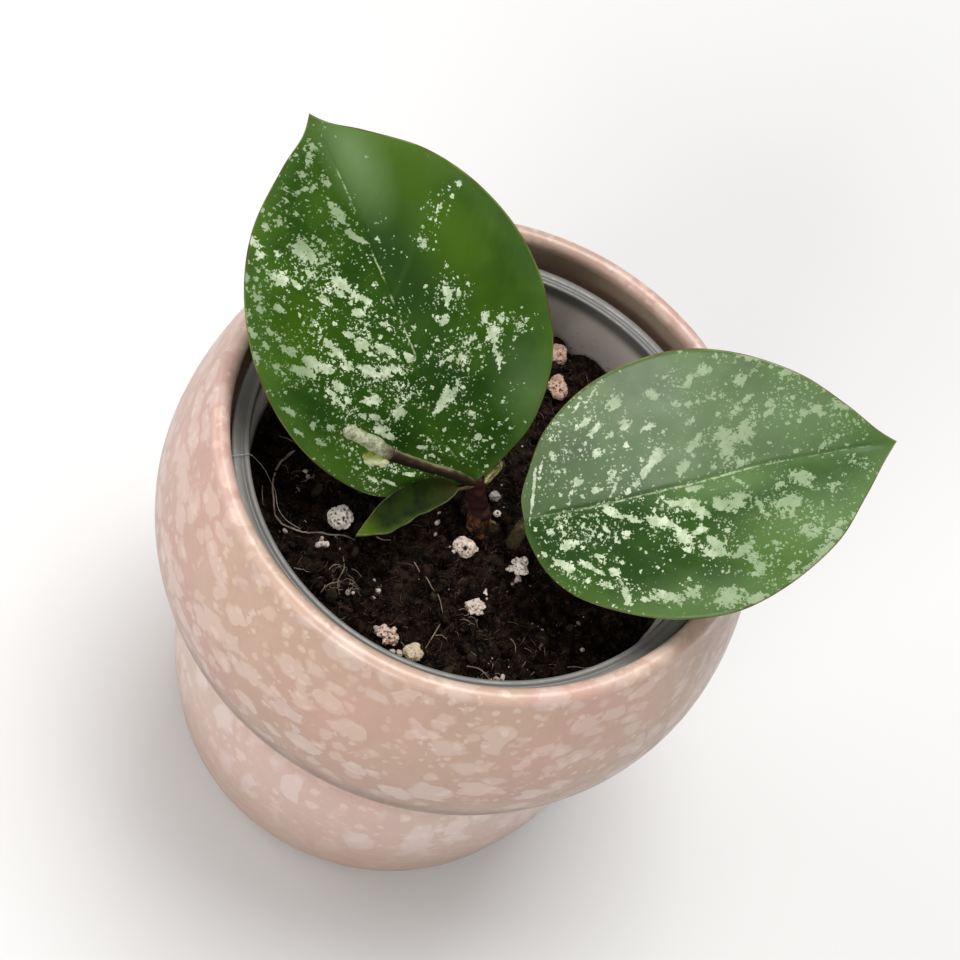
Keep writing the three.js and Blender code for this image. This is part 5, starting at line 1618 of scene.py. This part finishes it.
def bladeShape(plan):
    length = plan["midrib"][-1][0]
    matrix = leafMatrix(plan)
    shares = columnShares(plan["columns"])
    splashes = ellipsesOf([(x, y, a, b, turn, 0.32 + 0.68 * s) for x, y, a, b, turn, s in plan["splashes"]])
    specks = ellipsesOf(plan["speckFields"])
    clouds = {}
    for name in ("yellow", "shade", "paintedSheen", "sheenDulled"):
        clouds[name] = ellipsesOf([(x, y, a, b, 0, s * 2) for x, y, a, b, s in plan[name]])
    names = ["splash", "fleck", "ribGap", "ribLine", "marginGap", "under", "leafPlace", "veinFlow", *clouds]
    marks = {name: [] for name in names}
    top, bottom = [], []
    for row in range(plan["rows"] + 1):
        t = row / plan["rows"]
        onLeft = Vector(splineAt(plan["leftMargin"], t))
        onRight = Vector(splineAt(plan["rightMargin"], t))
        middleX = (onLeft.x + onRight.x) / 2
        middle = Vector((middleX, midribAt(plan["midrib"], middleX)))
        if row in (0, plan["rows"]):
            middle = onLeft.copy()
        along = middleX / length
        droop = plan["tipDrop"] * max(0, (along - 0.85) / 0.15) ** 2
        lineShare = ribLineAt(middleX, plan["ribLine"])
        grooveShare = smooth(0.02, 0.1, along) * (1 - smooth(0.9, 1, along))
        for share in shares:
            edge = onRight if share < 0 else onLeft
            reach = (edge - middle).length
            point = middle.lerp(edge, abs(share))
            across = (point - middle).length
            x, y = point
            ruffle = plan["wave"] * max(0, share) ** 2 * (1 + math.sin(1.5 * x + 0.6))
            y -= ruffle * math.sin(math.pi * along)
            z = plan["fold"] * (math.hypot(across, 1) - 1) - plan["curl"] * across ** 2
            z += plan["arch"] * math.sin(math.pi * along) - droop
            thick = blade["middle"] - (blade["middle"] - blade["edge"]) * share ** 2
            rib = blade["rib"] * math.exp(-(across ** 2)) * (1 - along)
            inset = max(0, (abs(share) - blade["roundFrom"]) / (1 - blade["roundFrom"]))
            rounding = 0.5 * thick * (1 - math.sqrt(max(0, 1 - inset * inset)))
            groove = plan["groove"] * math.exp(-((across / 0.5) ** 2)) * grooveShare
            top.append(tuple(matrix @ Vector((x, y, z - rounding - groove))))
            bottom.append(tuple(matrix @ Vector((x, y, z - thick - rib + rounding))))
            side = 1 if share >= 0 else -1
            sweep = x - plan["veinSweep"] * across - 0.012 * across * across
            marks["splash"].append(fieldAt(x, y, splashes))
            marks["fleck"].append(min(1, 1.6 * fieldAt(x, y, specks)))
            marks["ribGap"].append(across)
            marks["ribLine"].append(lineShare)
            marks["marginGap"].append(reach - across)
            marks["under"].append(0)
            for name, ellipses in clouds.items():
                marks[name].append(min(1, fieldAt(x, y, ellipses)))
            marks["leafPlace"].append((x, y, 0))
            marks["veinFlow"].append((across * 0.7, sweep * 0.72, side * 7))  # the halves differ
    columns = len(shares)
    under = len(top)
    for name in names:
        marks[name] += [1] * under if name == "under" else marks[name]
    marks["splash"][under:] = [0] * under
    marks["fleck"][under:] = [0] * under
    faces = []
    for row in range(plan["rows"]):
        for column in range(columns - 1):
            a = row * columns + column
            b = a + columns
            faces.append([a, b, b + 1, a + 1])
            faces.append([under + a, under + a + 1, under + b + 1, under + b])
        a = row * columns
        b = a + columns
        faces.append([a, under + a, under + b, b])
        c = a + columns - 1
        d = b + columns - 1
        faces.append([c, d, under + d, under + c])
    return {"points": top + bottom, "faces": faces, "marks": marks}


def leafMaterial(name, colours, splashEdge, roughness, specular, wax):
    look = Look(name, roughness=0.42, specular=specular, coat=wax, coatRoughness=roughness)
    place = look.mark("leafPlace", "Vector")
    flow = look.mark("veinFlow", "Vector")
    marginGap = look.mark("marginGap")
    # green ground with darker and yellower clouds, and greyer clouds of painted sheen
    cloud = look.noise(place, 0.08, 3, 0.55)
    look.colour = look.blend(look.step(cloud, 0.35, 0.65), colours["green"], colours["deep"])
    for mark, share, tint in (("yellow", 0.9, "yellow"), ("shade", 0.9, "deep"), ("paintedSheen", 0.8, "paintedSheen")):
        look.lay(look.times(look.mark(mark), share), colours[tint])
    # painted sheen: lighter toward the margin, where the curled edge catches the light
    look.lay(look.step(marginGap, 0, 6, 0.32, 0), colours["light"])
    # faint side veins
    veins = look.noise(look.stretch(flow, 0.15, 1, 1), 0.4, 2, 0.4)
    look.lay(look.step(veins, 0.5, 0.75, 0, leafSkin["veinShare"]), colours["light"])
    # splashes: listed fields with torn edges
    torn = look.swing(look.noise(flow, 0.8, 3, 0.6), leafSkin["tear"])
    nibbled = look.swing(look.noise(place, 1.5, 5, 0.7), leafSkin["nibble"])
    field = look.plus(look.mark("splash"), look.plus(torn, nibbled))
    solid = look.step(field, splashEdge, splashEdge + leafSkin["edgeSoftness"])
    # fine flecks, thick where the fleck field is high
    fleck = look.mark("fleck")
    gathered = look.times(fleck, look.step(look.noise(flow, 0.35, 2), 0.38, 0.62, 0.35, 1.1))
    fineAmount = look.times(gathered, leafSkin["fineAmount"])
    fine = look.group(speckles, Vector=place, Amount=fineAmount, **leafSkin["fine"])[0]
    fine = look.times(look.times(fine, look.step(fleck, 0.05, 0.3)), 0.9)
    masks = []
    for kind, amount in (("dots", "dotAmount"), ("specks", "speckAmount")):
        presence = look.times(gathered, leafSkin[amount])
        spots = look.group(roundSpots, Vector=place, Presence=presence, **leafSkin[kind])
        masks.append(spots["Mask"])
    flecks = look.larger(fine, masks[0])
    flecks = look.larger(flecks, look.times(masks[1], 0.8))
    splash = look.larger(solid, flecks)
    holes = look.group(roundSpots, Vector=place, **leafSkin["holes"])["Mask"]
    splash = look.times(splash, look.less(1, holes, leafSkin["holeDepth"]))
    tone = look.noise(place, 0.5, 3, 0.6)
    bright = look.blend(look.step(tone, 0.32, 0.62), colours["splash"], colours["splashDull"])
    # painted sheen: inside these clouds the splashes are greyed and fainter, as if veiled by the sheen
    sheenDulled = look.step(look.mark("sheenDulled"), 0.1, 0.8)
    bright = look.blend(look.times(sheenDulled, 0.75), bright, colours["splashSheenGrey"])
    look.lay(look.times(splash, look.less(0.95, sheenDulled, 0.25)), bright)
    # broken pale line in the midrib's groove
    broken = look.step(look.noise(place, 0.9, 3, 0.6), 0.42, 0.52)
    wander = look.swing(look.noise(place, 0.6, 2), 0.4)
    line = look.step(look.plus(look.mark("ribGap"), wander), 0.06, 0.22, 1, 0)
    line = look.times(line, look.times(look.mark("ribLine"), broken))
    look.lay(line, colours["rib"])
    # thin pale or brown skin along the margin
    browned = look.step(look.noise(place, 0.1, 2), 0.42, 0.58)
    rimColour = look.blend(browned, colours["margin"], colours["marginBrown"])
    look.lay(look.step(marginGap, 0.1, 0.4, 0.8, 0), rimColour)
    under = look.mark("under")
    paler = look.step(look.noise(flow, 0.25, 3), 0.35, 0.65)
    look.lay(under, look.blend(paler, colours["under"], colours["light"]))
    # waxy on the left of the midrib, duller on splashes and underneath
    if wax:
        side = look.add("ShaderNodeSeparateXYZ", {0: place}).outputs[1]
        look.fill(look.shader, {"Coat Weight": look.step(side, -1, 2, 0, wax)})
    uneven = look.step(look.noise(place, 0.25, 3), 0.3, 0.7, roughness - 0.04, roughness + 0.06)
    matt = look.plus(look.times(splash, 0.08), look.times(under, 0.2))
    raised = look.plus(look.uneven(flow, 0.2, 3, 0.08), look.times(splash, leafSkin["splashRelief"]))
    return look.dress(raised, 0.25, 0.0006, look.plus(uneven, matt))


def youngLeafMaterial(plan):
    look = Look("youngLeafSkin", roughness=0.5, specular=0.04)
    place = look.mark("leafPlace", "Vector")
    parts = look.add("ShaderNodeSeparateXYZ", {0: place}).outputs
    along, side = parts[0], parts[1]
    cloud = look.noise(place, 0.3, 3, 0.55)
    look.colour = look.blend(look.step(cloud, 0.35, 0.65), plan["green"], plan["olive"])
    # painted highlight: the near half is lighter where it catches the light; it is browner toward the stalk
    litHalf = look.times(look.step(side, 0.4, 2.6), look.step(cloud, 0.3, 0.6, 0.3, 0.8))
    look.lay(litHalf, plan["litHalf"])
    look.lay(look.step(along, 0, 6, 0.5, 0), plan["stalkEnd"])
    look.lay(look.step(along, 14, 20), plan["tip"])
    # pale wavy rim, but for the far half next to the stalk
    wave = look.times(look.noise(place, 0.7, 2), 0.35)
    rim = look.step(look.plus(look.mark("marginGap"), wave), 0.18, 0.42, 0.6, 0)
    farHalf = look.times(look.step(side, -1, 0, 1, 0), look.step(along, 8, 12, 1, 0))
    rim = look.times(rim, look.minus(1, farHalf))
    look.lay(rim, plan["rim"])
    underColour = look.blend(look.step(cloud, 0.3, 0.7), plan["under"], plan["underDeep"])
    look.lay(look.mark("under"), underColour)
    roughness = look.step(look.noise(place, 0.6, 3), 0.3, 0.7, 0.46, 0.6)
    return look.dress(look.uneven(place, 0.5, 3.5, 0.12), 0.5, 0.0006, roughness)


def stalkMaterial(name, base, paleShare):
    look = Look(name, roughness=0.6, specular=0.25)
    strand = look.mark("strand", "Vector")
    streak = look.noise(strand, 1.6, 4, 0.6)
    look.colour = look.blend(look.step(streak, 0.4, 0.65), leafPaints[base], leafPaints["stalkBrown"])
    fine = look.noise(strand, 6, 3, 0.6)
    look.lay(look.step(fine, 0.5, 0.62, 0, paleShare), leafPaints["stalkPale"])
    return look.dress(streak, 0.5, 0.0005)


def buildLeaf(name, plan, leafFinish, stalkFinish, slotName, node):
    stalk = tubeShape(**plan["stalk"], finish=1)
    makePiece(name, [bladeShape(plan), stalk], [leafFinish, stalkFinish], slotName, node)
    print(name, "with", len(plan["splashes"]), "splashes")


streakedStalk = stalkMaterial("streakedStalk", "stalk", 0.85)
brownStalk = stalkMaterial("brownStalk", "stalkOlive", 0.15)
leftSkin = leafMaterial("leftLeafSkin", leafPaints, **leftLeaf["skin"])
rightSkin = leafMaterial("rightLeafSkin", leafPaints, **rightLeaf["skin"])
buildLeaf("leftLeaf", leftLeaf, leftSkin, streakedStalk, "leaf", "leaf_left")
buildLeaf("rightLeaf", rightLeaf, rightSkin, brownStalk, "leaf", "leaf_right")
buildLeaf("youngLeaf", youngLeaf, youngLeafMaterial(youngLeaf), brownStalk, "young_leaf", "leaf_young")

print("all pieces made")
